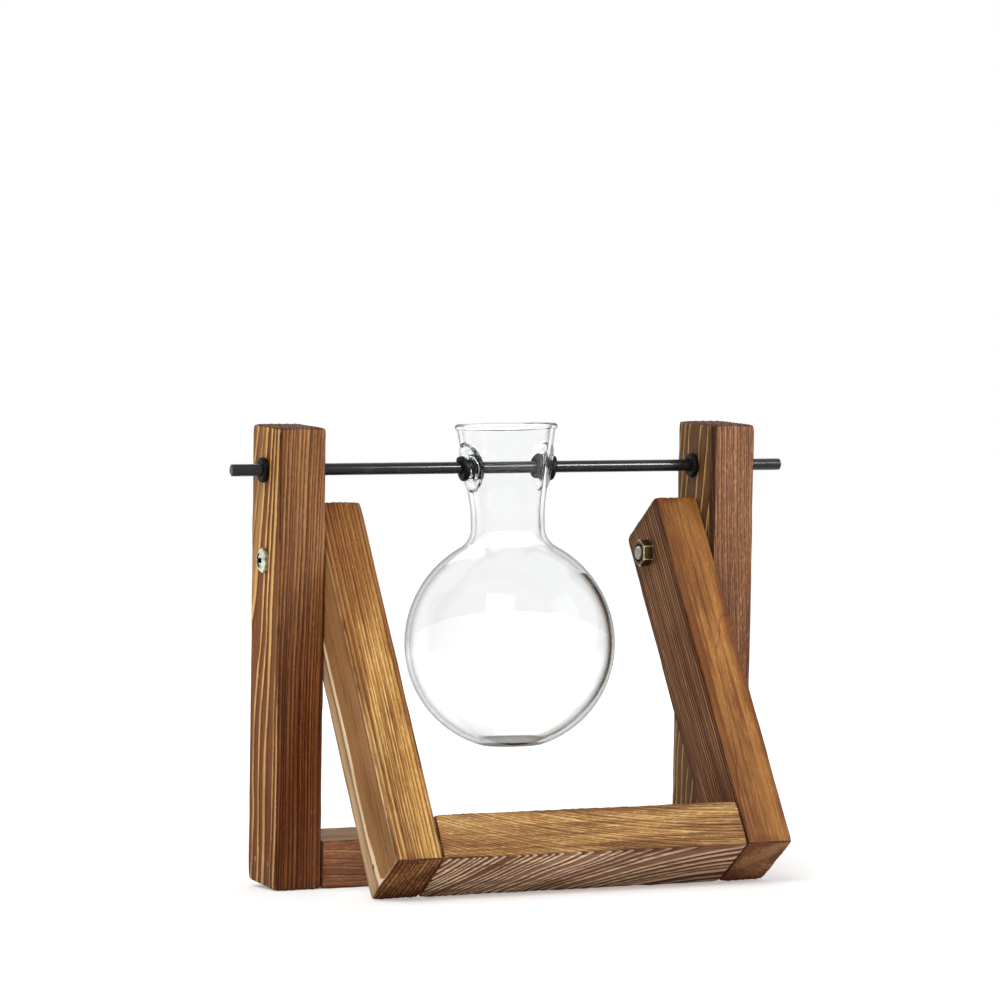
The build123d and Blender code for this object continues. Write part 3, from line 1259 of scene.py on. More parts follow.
@dataclass
class GlassVase:
    """Blown bulb with a flared mouth, a turned lip and a thick ring round each rod hole.

    Heights are measured from the rod's axis along the vase's own axis. The mouth's wall has square cells, and
    those from hole_cells to warp_cells out of a rod hole's middle are drawn into rings about it.
    """

    wall: float = 1.8 * MM
    base_thickness: float = 2.6 * MM
    rim_height: float = 15.2 * MM
    rim_radius: float = 2.2 * MM
    rim_angle: float = math.radians(30.0)
    rim_bead: float = 1.35 * MM
    rim_depth: float = 2.0 * MM
    flare: float = math.radians(8.8)
    neck_radius: float = 15.4 * MM
    neck_drop: float = 22.0 * MM
    neck_bend: float = 60.0 * MM
    neck_straight: float = 3.45 * MM
    hollow: float = 9.0 * MM
    shoulder_radius: float = 46.0 * MM
    bulb_radius: float = 44.0 * MM
    base_cut: float = 1.5 * MM
    base_round: float = 10.0 * MM
    base_shares: tuple[float, ...] = (0.66, 0.33, 0.0)
    hole_radius: float = 4.05 * MM
    ring_proud: float = 0.9 * MM
    ring_seat: float = 5.9 * MM
    ring_middle: float = 8.1 * MM
    ring_half: float = 1.5 * MM
    ring_cuts: int = 2
    steps: int = 128
    lip_steps: int = 4
    bead_steps: int = 16
    neck_steps: int = 6
    hollow_steps: int = 9
    bulb_steps: int = 16
    foot_steps: int = 5
    hole_cells: int = 4
    warp_cells: int = 12
    cell_margin: float = 0.1
    round_share: float = 0.5
    polish_levels: int = 1
    finish: GlassFinish = GlassFinish()

    @property
    def hollow_rise(self) -> float:
        """Height of the shoulder hollow's centre over the bulb's."""
        reach = self.neck_radius + self.hollow + self.shoulder_radius - self.bulb_radius
        return math.sqrt((self.shoulder_radius + self.hollow) ** 2 - reach**2)

    @property
    def bulb_drop(self) -> float:
        """Depth of the bulb's centre under the rod."""
        return self.neck_drop + self.neck_straight + self.hollow_rise

    @property
    def cell(self) -> float:
        """Size of one cell of the wall beside the rod holes."""
        return FULL_TURN * self.mouth_radius(0.0, 0.0) / self.steps

    def mouth_radius(self, height: float, inset: float) -> float:
        """Radius of the flared mouth.

        Args:
            height: height over the rod.
            inset: distance inwards from the outer face, square to the wall.

        Returns:
            The radius there.
        """
        bend = self.neck_bend + inset
        tangent_radius = self.neck_radius + self.neck_bend - bend * math.cos(self.flare)
        tangent_height = bend * math.sin(self.flare) - self.neck_drop
        return tangent_radius + (height - tangent_height) * math.tan(self.flare)

    def _rim_centre(self) -> Place:
        """Finds the centre about which the lip turns outwards.

        Returns:
            Its radius and height.
        """
        radius = self.mouth_radius(self.rim_height, 0.0)
        turn = self.rim_radius
        return (radius + turn * math.cos(self.flare), self.rim_height - turn * math.sin(self.flare))

    def _face(self, inset: float, lift: float) -> list[Place]:
        """Outline of one face of the glass, from the lip to the base.

        Args:
            inset: distance inwards from the outer face.
            lift: height over the foot at the base.

        Returns:
            Radius and height of each place.
        """
        outwards = math.pi - self.flare
        taken = math.sqrt(self.rim_bead**2 - (self.wall / 2) ** 2) / (self.rim_radius + self.wall / 2)
        turned = outwards - self.rim_angle + taken
        lip = arc(self._rim_centre(), self.rim_radius + inset, turned, outwards, self.lip_steps)
        reach = math.floor((self.rim_height - self.rim_depth) / self.cell)
        heights = [level * self.cell for level in range(reach, -self.warp_cells - 1, -1)]
        mouth = [(self.mouth_radius(height, inset), height) for height in heights]
        neck_centre = (self.neck_radius + self.neck_bend, -self.neck_drop)
        neck = arc(neck_centre, self.neck_bend + inset, outwards, math.pi, self.neck_steps)
        return lip + mouth + neck + self._bulb(inset, lift)

    def _bulb(self, inset: float, lift: float) -> list[Place]:
        """Outline of one face of the bulb, from the shoulder's hollow to the base.

        Args:
            inset: distance inwards from the outer face.
            lift: height over the foot at the base.

        Returns:
            Radius and height of each place.
        """
        hollow_centre = (self.neck_radius + self.hollow, self.hollow_rise - self.bulb_drop)
        offset = self.shoulder_radius - self.bulb_radius
        meet = math.atan2(self.hollow_rise, hollow_centre[0] + offset)
        hollow = arc(hollow_centre, self.hollow + inset, math.pi, math.pi + meet, self.hollow_steps)
        middle = (-offset, -self.bulb_drop)
        upper = arc(middle, self.shoulder_radius - inset, meet, 0.0, self.bulb_steps)[1:]
        round_radius = self.base_round - inset
        base = lift - self.bulb_drop - self.bulb_radius + self.base_cut
        round_height = base + round_radius
        drop = round_height + self.bulb_drop
        round_middle = math.sqrt((self.bulb_radius - inset - round_radius) ** 2 - drop**2)
        foot_angle = math.atan2(drop, round_middle)
        middle = (0.0, -self.bulb_drop)
        lower = arc(middle, self.bulb_radius - inset, 0.0, foot_angle, self.bulb_steps)[1:]
        middle = (round_middle, round_height)
        foot = arc(middle, round_radius, foot_angle, -math.pi / 2, self.foot_steps)[1:]
        return hollow + upper + lower + foot + [(round_middle * share, base) for share in self.base_shares]

    def outline(self) -> list[Place]:
        """Outline of the glass, from the foot's middle over the lip to the middle of the floor inside.

        Returns:
            Radius and height of each place.
        """
        lip_angle = math.pi - self.flare - self.rim_angle
        centre, turn = self._rim_centre(), self.rim_radius + self.wall / 2
        cap_centre = (centre[0] + turn * math.cos(lip_angle), centre[1] + turn * math.sin(lip_angle))
        forward, sweep = lip_angle - math.pi / 2, math.pi - math.asin(self.wall / 2 / self.rim_bead)
        cap = arc(cap_centre, self.rim_bead, forward - sweep, forward + sweep, self.bead_steps)[1:-1]
        return self._face(0.0, 0.0)[::-1] + cap + self._face(self.wall, self.base_thickness)

    def build(self, rod_axis: Vector) -> bpy.types.Object:
        """Builds the vase hanging from the rod.

        Args:
            rod_axis: a place on the rod's axis, at the vase's own axis.

        Returns:
            The piece.
        """
        shape = bmesh.new()
        points = [shape.verts.new((radius, 0.0, height)) for radius, height in self.outline()]
        lines = [shape.edges.new(pair) for pair in zip(points, points[1:])]
        turn = {"cent": (0, 0, 0), "axis": (0, 0, 1), "angle": FULL_TURN, "steps": self.steps}
        bmesh.ops.spin(shape, geom=points + lines, use_merge=True, **turn)
        bmesh.ops.remove_doubles(shape, verts=shape.verts, dist=MERGE_REACH)
        self._open_holes(shape)
        bmesh.ops.recalc_face_normals(shape, faces=shape.faces)
        bmesh.ops.translate(shape, vec=rod_axis, verts=shape.verts)
        mesh, glass = mesh_of(shape, "blown_glass"), self.finish.material()
        piece = finish_piece("blown_glass", mesh, glass, "vase", ["glass_vase"])
        rounded = piece.modifiers.new("fire_polish", "SUBSURF")
        rounded.levels = rounded.render_levels = self.polish_levels
        return piece

    def _cell_of(self, spot: Vector) -> tuple[float, float]:
        """Cells from the nearest rod hole's middle, round the wall and up it."""
        angle = math.atan2(spot.y, abs(spot.x))
        return angle * self.steps / FULL_TURN, spot.z / self.cell

    def _is_open(self, face: bmesh.types.BMFace) -> bool:
        """Tells whether a face of the wall lies where a rod hole opens.

        Args:
            face: a face of the closed glass.

        Returns:
            True for a face within the hole's cells.
        """
        middle = face.calc_center_median()
        across, up = self._cell_of(middle)
        near = max(abs(across), abs(up)) < self.hole_cells + self.cell_margin
        return near and self._wall_inset(middle) is not None

    def _open_holes(self, shape: bmesh.types.BMesh) -> None:
        """Opens both rod holes, rounds the cells about them and thickens the glass there.

        Args:
            shape: the closed glass.
        """
        opened = [face for face in shape.faces if self._is_open(face)]
        gone = set(opened)
        rims = [edge for edge in shape.edges if len(gone.intersection(edge.link_faces)) == 1]
        bmesh.ops.delete(shape, geom=opened, context="FACES")
        for vertex in shape.verts:
            inset = self._wall_inset(vertex.co)
            if inset is not None:
                self._warp(vertex, inset)
        for side in Side:
            edges = [edge for edge in rims if edge.verts[0].co.x * side.value > 0]
            made = bmesh.ops.bridge_loops(shape, edges=edges)
            bmesh.ops.subdivide_edges(shape, edges=made["edges"], cuts=self.ring_cuts)

    def _wall_inset(self, spot: Vector) -> float | None:
        """Tells which face of the mouth's wall a place is on.

        Args:
            spot: a place on the glass.

        Returns:
            0 on the outer face, the wall's thickness on the inner one and None away from the warped cells.
        """
        if abs(spot.z) > (self.warp_cells + 0.5) * self.cell:
            return None
        radius = math.hypot(spot.x, spot.y)
        outer, inner = self.mouth_radius(spot.z, 0.0), self.mouth_radius(spot.z, self.wall)
        return 0.0 if abs(radius - outer) < abs(radius - inner) else self.wall

    def _proud(self, gap: float) -> float:
        """Height of the thick glass about a hole: a flat seat, then a round bead.

        Args:
            gap: distance from the hole's middle.

        Returns:
            Height over the plain wall.
        """
        seat = clamped((self.ring_seat + self.ring_half - gap) / self.ring_half)
        bead = max(0.0, 1 - ((gap - self.ring_middle) / self.ring_half) ** 2)
        return self.ring_proud * max(seat * seat * (3 - 2 * seat), math.sqrt(bead))

    def _warp(self, vertex: bmesh.types.BMVert, inset: float) -> None:
        """Moves a wall vertex from the square cells to rings about the hole, and out over the thick ring.

        Args:
            vertex: the vertex.
            inset: which face of the wall it is on.
        """
        across, up = self._cell_of(vertex.co)
        far, near = max(abs(across), abs(up)), min(abs(across), abs(up))
        if far > self.warp_cells - self.cell_margin or far < self.hole_cells - 0.5:
            return
        angle = math.pi / 4 * near / far
        if abs(up) > abs(across):
            angle = math.pi / 2 - angle
        share = (round(far) - self.hole_cells) / (self.warp_cells - self.hole_cells)
        radius = self.hole_radius + share * (self.warp_cells * self.cell - self.hole_radius)
        square = max(0.0, (share - self.round_share) / (1 - self.round_share))
        round_across = math.copysign(radius * math.cos(angle), across)
        round_up = math.copysign(radius * math.sin(angle), up)
        flat_across = square * across * self.cell + (1 - square) * round_across
        flat_up = square * up * self.cell + (1 - square) * round_up
        proud = self._proud(math.hypot(flat_across, flat_up))
        level = inset - proud if inset == 0.0 else inset + proud
        turn = flat_across / self.mouth_radius(0.0, 0.0)
        wide = self.mouth_radius(flat_up, level)
        vertex.co.x = math.copysign(wide * math.cos(turn), vertex.co.x)
        vertex.co.y = wide * math.sin(turn)
        vertex.co.z = flat_up


@dataclass
class Hanger:
    """The rod, the stop rings that hold it between the posts and the grommets that carry the glass on it.

    A lead says how far the mouths of a bore are broken, along the rod and out from the bore. chamfer_round
    places the middle of the rod's broken edge, in shares of the chamfer along the rod and across it.
    """

    rod_radius: float = 2.5 * MM
    rod_chamfer: float = 0.45 * MM
    chamfer_round: Place = (0.35, 0.3)
    rod_dish: float = 0.12 * MM
    dish_share: float = 0.6
    ring_radius: float = 5.25 * MM
    ring_round: float = 0.95 * MM
    ring_lead: Place = (0.25 * MM, 0.3 * MM)
    seat: float = 0.02 * MM
    grommet_radius: float = 5.25 * MM
    grommet_round: float = 0.85 * MM
    grommet_flange: float = 2.3 * MM
    grommet_chamfer: float = 0.3 * MM
    grommet_bore: float = 2.58 * MM
    grommet_lead: Place = (0.3 * MM, 0.4 * MM)
    neck_gap: float = 0.25 * MM
    steps: int = 64
    round_steps: int = 6
    steel: BlackSteelFinish = BlackSteelFinish()
    rubber: RubberFinish = RubberFinish()

    def build_rod(self, axis: Vector) -> bpy.types.Object:
        """Builds the rod along its CAD node, with both cut ends broken and dished.

        Args:
            axis: a place on the rod's axis.

        Returns:
            The piece.
        """
        low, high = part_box("hanging_rod")
        left, right = low.x - axis.x, high.x - axis.x
        radius, chamfer, dish = self.rod_radius, self.rod_chamfer, self.rod_dish
        inner, (along, across) = radius - chamfer, self.chamfer_round
        end = [(dish, 0.0), (dish / 2, inner * self.dish_share), (0.0, inner)]
        end += [(chamfer * along, radius - chamfer * across), (chamfer, radius)]
        outline = [(left + inwards, out) for inwards, out in end]
        outline += [(right - inwards, out) for inwards, out in reversed(end)]
        shape = spun(outline, self.steps)
        bmesh.ops.translate(shape, vec=axis, verts=shape.verts)
        mesh = mesh_of(shape, "satin_rod")
        return finish_piece("satin_rod", mesh, self.steel.material(), "rod", ["hanging_rod"])

    def build_ring(self, node: str, axis: Vector, rubber: bpy.types.Material) -> bpy.types.Object:
        """Builds one stop ring in its CAD node's place.

        Args:
            node: the CAD node.
            axis: a place on the rod's axis.
            rubber: the finish.

        Returns:
            The piece.
        """
        low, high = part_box(node)
        left, right = low.x - axis.x, high.x - axis.x
        bore, outer, turn = self.rod_radius + self.seat, self.ring_radius, self.ring_round
        along, out = self.ring_lead
        outline = [(left, bore + out), (left, outer - turn)]
        outline += arc((left + turn, outer - turn), turn, math.pi, math.pi / 2, self.round_steps)[1:]
        outline += arc((right - turn, outer - turn), turn, math.pi / 2, 0.0, self.round_steps)
        outline += [(right, bore + out), (right - along, bore), (left + along, bore)]
        shape = spun(outline, self.steps)
        bmesh.ops.translate(shape, vec=axis, verts=shape.verts)
        mesh = mesh_of(shape, node)
        return finish_piece(f"{node}_moulded", mesh, rubber, "rod", [node])

    def build_grommet(
        self, side: Side, vase: GlassVase, axis: Vector, rubber: bpy.types.Material
    ) -> bpy.types.Object:
        """Builds one grommet, its flanges hugging the thick ring round the glass hole.

        Args:
            side: which of the two holes.
            vase: the glass that it sits in.
            axis: a place on the rod's axis, at the vase's own axis.
            rubber: the finish.

        Returns:
            The piece.
        """
        shape = spun(self._grommet_outline(vase), self.steps)
        self._hug_glass(shape, vase)
        bmesh.ops.scale(shape, vec=(side.value, 1, 1), verts=shape.verts)
        bmesh.ops.recalc_face_normals(shape, faces=shape.faces)
        bmesh.ops.translate(shape, vec=axis, verts=shape.verts)
        node = f"{side.word}_grommet"
        mesh = mesh_of(shape, node)
        return finish_piece(f"{node}_moulded", mesh, rubber, "vase", [node])

    def _grommet_outline(self, vase: GlassVase) -> list[Place]:
        """Outline of a grommet before it is laid on the glass.

        Args:
            vase: the glass that it sits in.

        Returns:
            Places along the bore with their radius.
        """
        half = vase.wall / 2 + vase.ring_proud + self.seat
        end, outer, turn = half + self.grommet_flange, self.grommet_radius, self.grommet_round
        neck, bore, chamfer = vase.hole_radius - self.neck_gap, self.grommet_bore, self.grommet_chamfer
        along, out = self.grommet_lead
        outline = [(-end, bore + out), (-end, outer - turn)]
        outline += arc((-end + turn, outer - turn), turn, math.pi, math.pi / 2, self.round_steps)[1:]
        outline += [(-half - chamfer, outer), (-half, outer - chamfer), (-half, neck), (half, neck)]
        outline += [(half, outer - chamfer), (half + chamfer, outer)]
        outline += arc((end - turn, outer - turn), turn, math.pi / 2, 0.0, self.round_steps)
        return outline + [(end, bore + out), (end - along, bore), (-end + along, bore)]

    def _hug_glass(self, shape: bmesh.types.BMesh, vase: GlassVase) -> None:
        """Leans and bends a grommet with the flared wall, while its bore stays true to the rod.

        Args:
            shape: the grommet, about the X axis.
            vase: the glass that it sits in.
        """
        outer, bore = self.grommet_radius, self.grommet_bore
        middle = (vase.mouth_radius(0.0, 0.0) + vase.mouth_radius(0.0, vase.wall)) / 2
        for vertex in shape.verts:
            along, across, up = vertex.co
            upright = clamped((outer - math.hypot(across, up)) / (outer - bore))
            along -= across * across / (2 * middle) * (1 - upright)
            vertex.co.x = middle + along * math.cos(vase.flare) + up * math.sin(vase.flare)
            drop = -along * math.sin(vase.flare) * (1 - upright)
            vertex.co.z = drop + up * (math.cos(vase.flare) * (1 - upright) + upright)


@dataclass
class PivotHardware:
    """Bolt and nut of one pivot: domed cross-head outside the post, hexagon nut inside the leg.

    thread_root and thread_flank are shares of the pitch, from the middle of a groove to the ends of its root
    and of its flank. head_edge_shade and thread_shade say how much shade is painted on the head's edge and
    in the thread, and tip_darkening how much darker the middle and the edge of the tip are; an edge starts at
    edge_share of its radius.
    """

    head_radius: float = 5.25 * MM
    head_height: float = 3.4 * MM
    head_rim: float = 1.2 * MM
    rim_share: float = 0.4
    rim_chamfer: float = 0.3 * MM
    dome_steps: int = 22
    recess_reach: float = 3.1 * MM
    recess_width: float = 1.6 * MM
    recess_depth: float = 1.8 * MM
    recess_wall: float = 0.16 * MM
    recess_taper: float = 0.9 * MM
    shank_radius: float = 3.0 * MM
    thread_pitch: float = 1.0 * MM
    thread_depth: float = 0.45 * MM
    thread_root: float = 0.28
    thread_flank: float = 0.46
    threaded_length: float = 9.0 * MM
    end_chamfer: float = 0.7 * MM
    tip_share: float = 0.8
    recess_shade_spread: float = 0.2 * MM
    recess_shade_gain: float = 1.5
    head_edge_shade: float = 0.6
    thread_shade: float = 0.85
    tip_darkening: Span = (0.6, 0.25)
    edge_share: float = 0.9
    nut_flats: float = 10.0 * MM
    nut_chamfer: float = math.radians(28.0)
    nut_washer: float = 4.85 * MM
    nut_shares: tuple[float, ...] = (0.25, 0.5, 0.75, 1.0)
    nut_bore_gap: float = 0.02 * MM
    nut_lead: float = 0.8 * MM
    nut_rim: float = 0.7 * MM
    highlight_angle: float = math.radians(28.0)
    half_side: float = math.pi / 6
    touch: float = 0.01 * MM
    steps: int = 72
    crease: float = math.radians(24.0)
    bolt_plate: PlatedFinish = PlatedFinish("bright_zinc", "d8dac6", "6f7f5c", 0.42)
    nut_plate: PlatedFinish = PlatedFinish("yellow_zinc", "675c38", "362f19", 0.55)

    @property
    def root_radius(self) -> float:
        """Radius of the thread's root."""
        return self.shank_radius - self.thread_depth

    @property
    def nut_corner(self) -> float:
        """Radius of the nut's corners before they are turned off."""
        return self.nut_flats / 2 / math.cos(self.half_side)

    @property
    def nut_mouth(self) -> float:
        """Radius of the nut's bore at both ends."""
        return self.shank_radius + self.nut_lead

    def build_bolt(self, side: Side, pivot: Vector, plate: bpy.types.Material) -> bpy.types.Object:
        """Builds the bolt in its CAD node's place.

        Args:
            side: which pivot.
            pivot: a place on the pivot line.
            plate: the finish.

        Returns:
            The piece.
        """
        node = f"{side.word}_pivot_bolt"
        tip, out = self._reach(node, pivot)
        shape = spun(self._bolt_outline(tip, out), self.steps)
        self._sink_cross(shape, tip, out)
        return self._place(shape, node, side, pivot, plate)

    def build_nut(self, side: Side, pivot: Vector, plate: bpy.types.Material) -> bpy.types.Object:
        """Builds the nut in its CAD node's place, its corners turned off in a cone at both ends.

        Args:
            side: which pivot.
            pivot: a place on the pivot line.
            plate: the finish.

        Returns:
            The piece.
        """
        node = f"{side.word}_pivot_nut"
        start, end = self._reach(node, pivot)
        shape = spun(self._nut_outline(start, end), self.steps)
        self._cut_flats(shape, start, end)
        bmesh.ops.rotate(shape, matrix=Matrix.Rotation(self.half_side, 3, "X"), verts=shape.verts)
        return self._place(shape, node, side, pivot, plate)

    @staticmethod
    def _reach(node: str, pivot: Vector) -> Span:
        """Measures a CAD node along the pivot line.

        Args:
            node: the CAD node.
            pivot: a place on the pivot line.

        Returns:
            Distances from that place to the node's near and far end.
        """
        low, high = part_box(node)
        ends = abs(low.x - pivot.x), abs(high.x - pivot.x)
        return min(ends), max(ends)

    def _place(
        self, shape: bmesh.types.BMesh, node: str, side: Side, pivot: Vector, plate: bpy.types.Material
    ) -> bpy.types.Object:
        """Turns a shape to its side of the stand and makes it a piece there.

        Args:
            shape: the bolt or nut, along X from the pivot line's middle.
            node: the CAD node that it replaces.
            side: which pivot.
            pivot: a place on the pivot line.
            plate: the finish.

        Returns:
            The piece.
        """
        bmesh.ops.scale(shape, vec=(side.value, 1, 1), verts=shape.verts)
        bmesh.ops.recalc_face_normals(shape, faces=shape.faces)
        bmesh.ops.translate(shape, vec=pivot, verts=shape.verts)
        mesh = mesh_of(shape, node)
        piece = finish_piece(f"{node}_plated", mesh, plate, "rear_frame", [node])
        mesh.set_sharp_from_angle(angle=self.crease)
        return piece

    def _bolt_outline(self, tip: float, out: float) -> list[Place]:
        """Outline of the bolt, from the top of its dome to the middle of its tip.

        Args:
            tip: distance of the tip from the pivot line's middle.
            out: distance of the dome's top from there.

        Returns:
            Places along the bolt with their radius.
        """
        seat, rise = out - self.head_height, self.head_height - self.head_rim
        dome = (self.head_radius**2 + rise**2) / (2 * rise)
        outline = arc((out - dome, 0.0), dome, 0.0, math.asin(self.head_radius / dome), self.dome_steps)
        outline += [(seat + self.head_rim * self.rim_share, self.head_radius)]
        outline += [(seat, self.head_radius - self.rim_chamfer), (seat, self.shank_radius)]
        thread_end, pitch, root = tip + self.threaded_length, self.thread_pitch, self.root_radius
        outline += [(thread_end, self.shank_radius)]
        for turn in range(round((self.threaded_length - self.end_chamfer) / pitch)):
            groove = thread_end - (turn + 0.5) * pitch
            outline += [(groove + pitch * self.thread_root, root), (groove - pitch * self.thread_root, root)]
            outline += [(groove - pitch * self.thread_flank, self.shank_radius)]
        outline += [(tip + self.end_chamfer, self.shank_radius), (tip, root)]
        return outline + [(tip, self.tip_share * root), (tip, 0.0)]

    def _sink_cross(self, shape: bmesh.types.BMesh, tip: float, out: float) -> None:
        """Sinks the cross into the bolt's dome and marks painted shade in the recess, on the head's edge and
        in the thread, and the darker tip.

        Args:
            shape: the bolt.
            tip: distance of the tip from the pivot line's middle.
            out: distance of the dome's top from there.
        """
        soil = shape.verts.layers.float.new(Mark.SOIL.value)
        dome_start = out - self.head_height + self.head_rim
        middle_dark, edge_dark = self.tip_darkening
        for vertex in shape.verts:
            radius = math.hypot(vertex.co.y, vertex.co.z)
            if vertex.co.x > dome_start:
                vertex.co.x -= self._recess(vertex.co.y, vertex.co.z, 0.0)
                # Painted shade in the cross recess and on the head's edge.
                hollow = self._recess(vertex.co.y, vertex.co.z, self.recess_shade_spread) / self.recess_depth
                edge = self.head_edge_shade * (radius > self.edge_share * self.head_radius)
                vertex[soil] = max(min(1.0, self.recess_shade_gain * hollow), edge)
            elif vertex.co.x < tip + self.threaded_length:
                # Painted shade in the thread.
                vertex[soil] = self.thread_shade
            # The tip is only made darker, in its middle and on its edge.
            if vertex.co.x < tip + self.touch:
                vertex[soil] = edge_dark if radius > self.edge_share * self.root_radius else middle_dark

    def _recess(self, across: float, up: float, spread: float) -> float:
        """Depth of the cross recess at a place on the head.

        Args:
            across: the place's distance from the head's middle, along one arm.
            up: its distance along the other arm.
            spread: how much wider and longer than they are the arms are taken.

        Returns:
            The depth.
        """
        depth = 0.0
        for run, gap in ((abs(across), abs(up)), (abs(up), abs(across))):
            inside = clamped((self.recess_width / 2 + spread - gap) / self.recess_wall + 0.5)
            taper = clamped((self.recess_reach + spread - run) / self.recess_taper)
            depth = max(depth, self.recess_depth * inside * taper)
        return depth

    def _nut_outline(self, start: float, end: float) -> list[Place]:
        """Outline of the round blank that the nut is cut from.

        Args:
            start: distance of its near face from the pivot line's middle.
            end: distance of its far face from there.

        Returns:
            Places along the nut with their radius.
        """
        corner, washer, mouth = self.nut_corner, self.nut_washer, self.nut_mouth
        marks = [washer + (corner - washer) * share for share in self.nut_shares]
        outline = [(start, mouth), (start, washer)] + [(start, mark) for mark in marks]
        outline += [(start + self.nut_rim, corner), (end - self.nut_rim, corner)]
        outline += [(end, mark) for mark in reversed(marks)] + [(end, washer), (end, mouth)]
        bore = self.shank_radius + self.nut_bore_gap
        return outline + [(end - self.nut_lead, bore), (start + self.nut_lead, bore)]

    def _cut_flats(self, shape: bmesh.types.BMesh, start: float, end: float) -> None:
        """Draws the blank in to a hexagon, slopes its end faces and marks painted shade in the bore and
        painted highlights on worn edges.

        Args:
            shape: the blank.
            start: distance of its near face from the pivot line's middle.
            end: distance of its far face from there.
        """
        soil = shape.verts.layers.float.new(Mark.SOIL.value)
        corner, washer, slope = self.nut_corner, self.nut_washer, math.tan(self.nut_chamfer)
        for vertex in shape.verts:
            radius = math.hypot(vertex.co.y, vertex.co.z)
            # Painted shade in the bore's mouth.
            vertex[soil] = float(radius < self.nut_mouth + self.touch)
            if radius <= washer + MERGE_REACH:
                continue
            angle = math.atan2(vertex.co.z, vertex.co.y) % (2 * self.half_side) - self.half_side
            rim = min(vertex.co.x - start, end - vertex.co.x) < self.nut_rim / 2
            # Worn corners and rims painted as bright highlights.
            if abs(angle) > self.highlight_angle or (rim and radius > corner - MERGE_REACH):
                vertex[soil] = -1.0
            flat = self.nut_flats / 2 / math.cos(angle)
            reach = washer + (flat - washer) * ((radius - washer) / (corner - washer))
            fall = (reach - washer) * slope
            vertex.co.y *= reach / radius
            vertex.co.z *= reach / radius
            vertex.co.x += fall if vertex.co.x < (start + end) / 2 else -fall


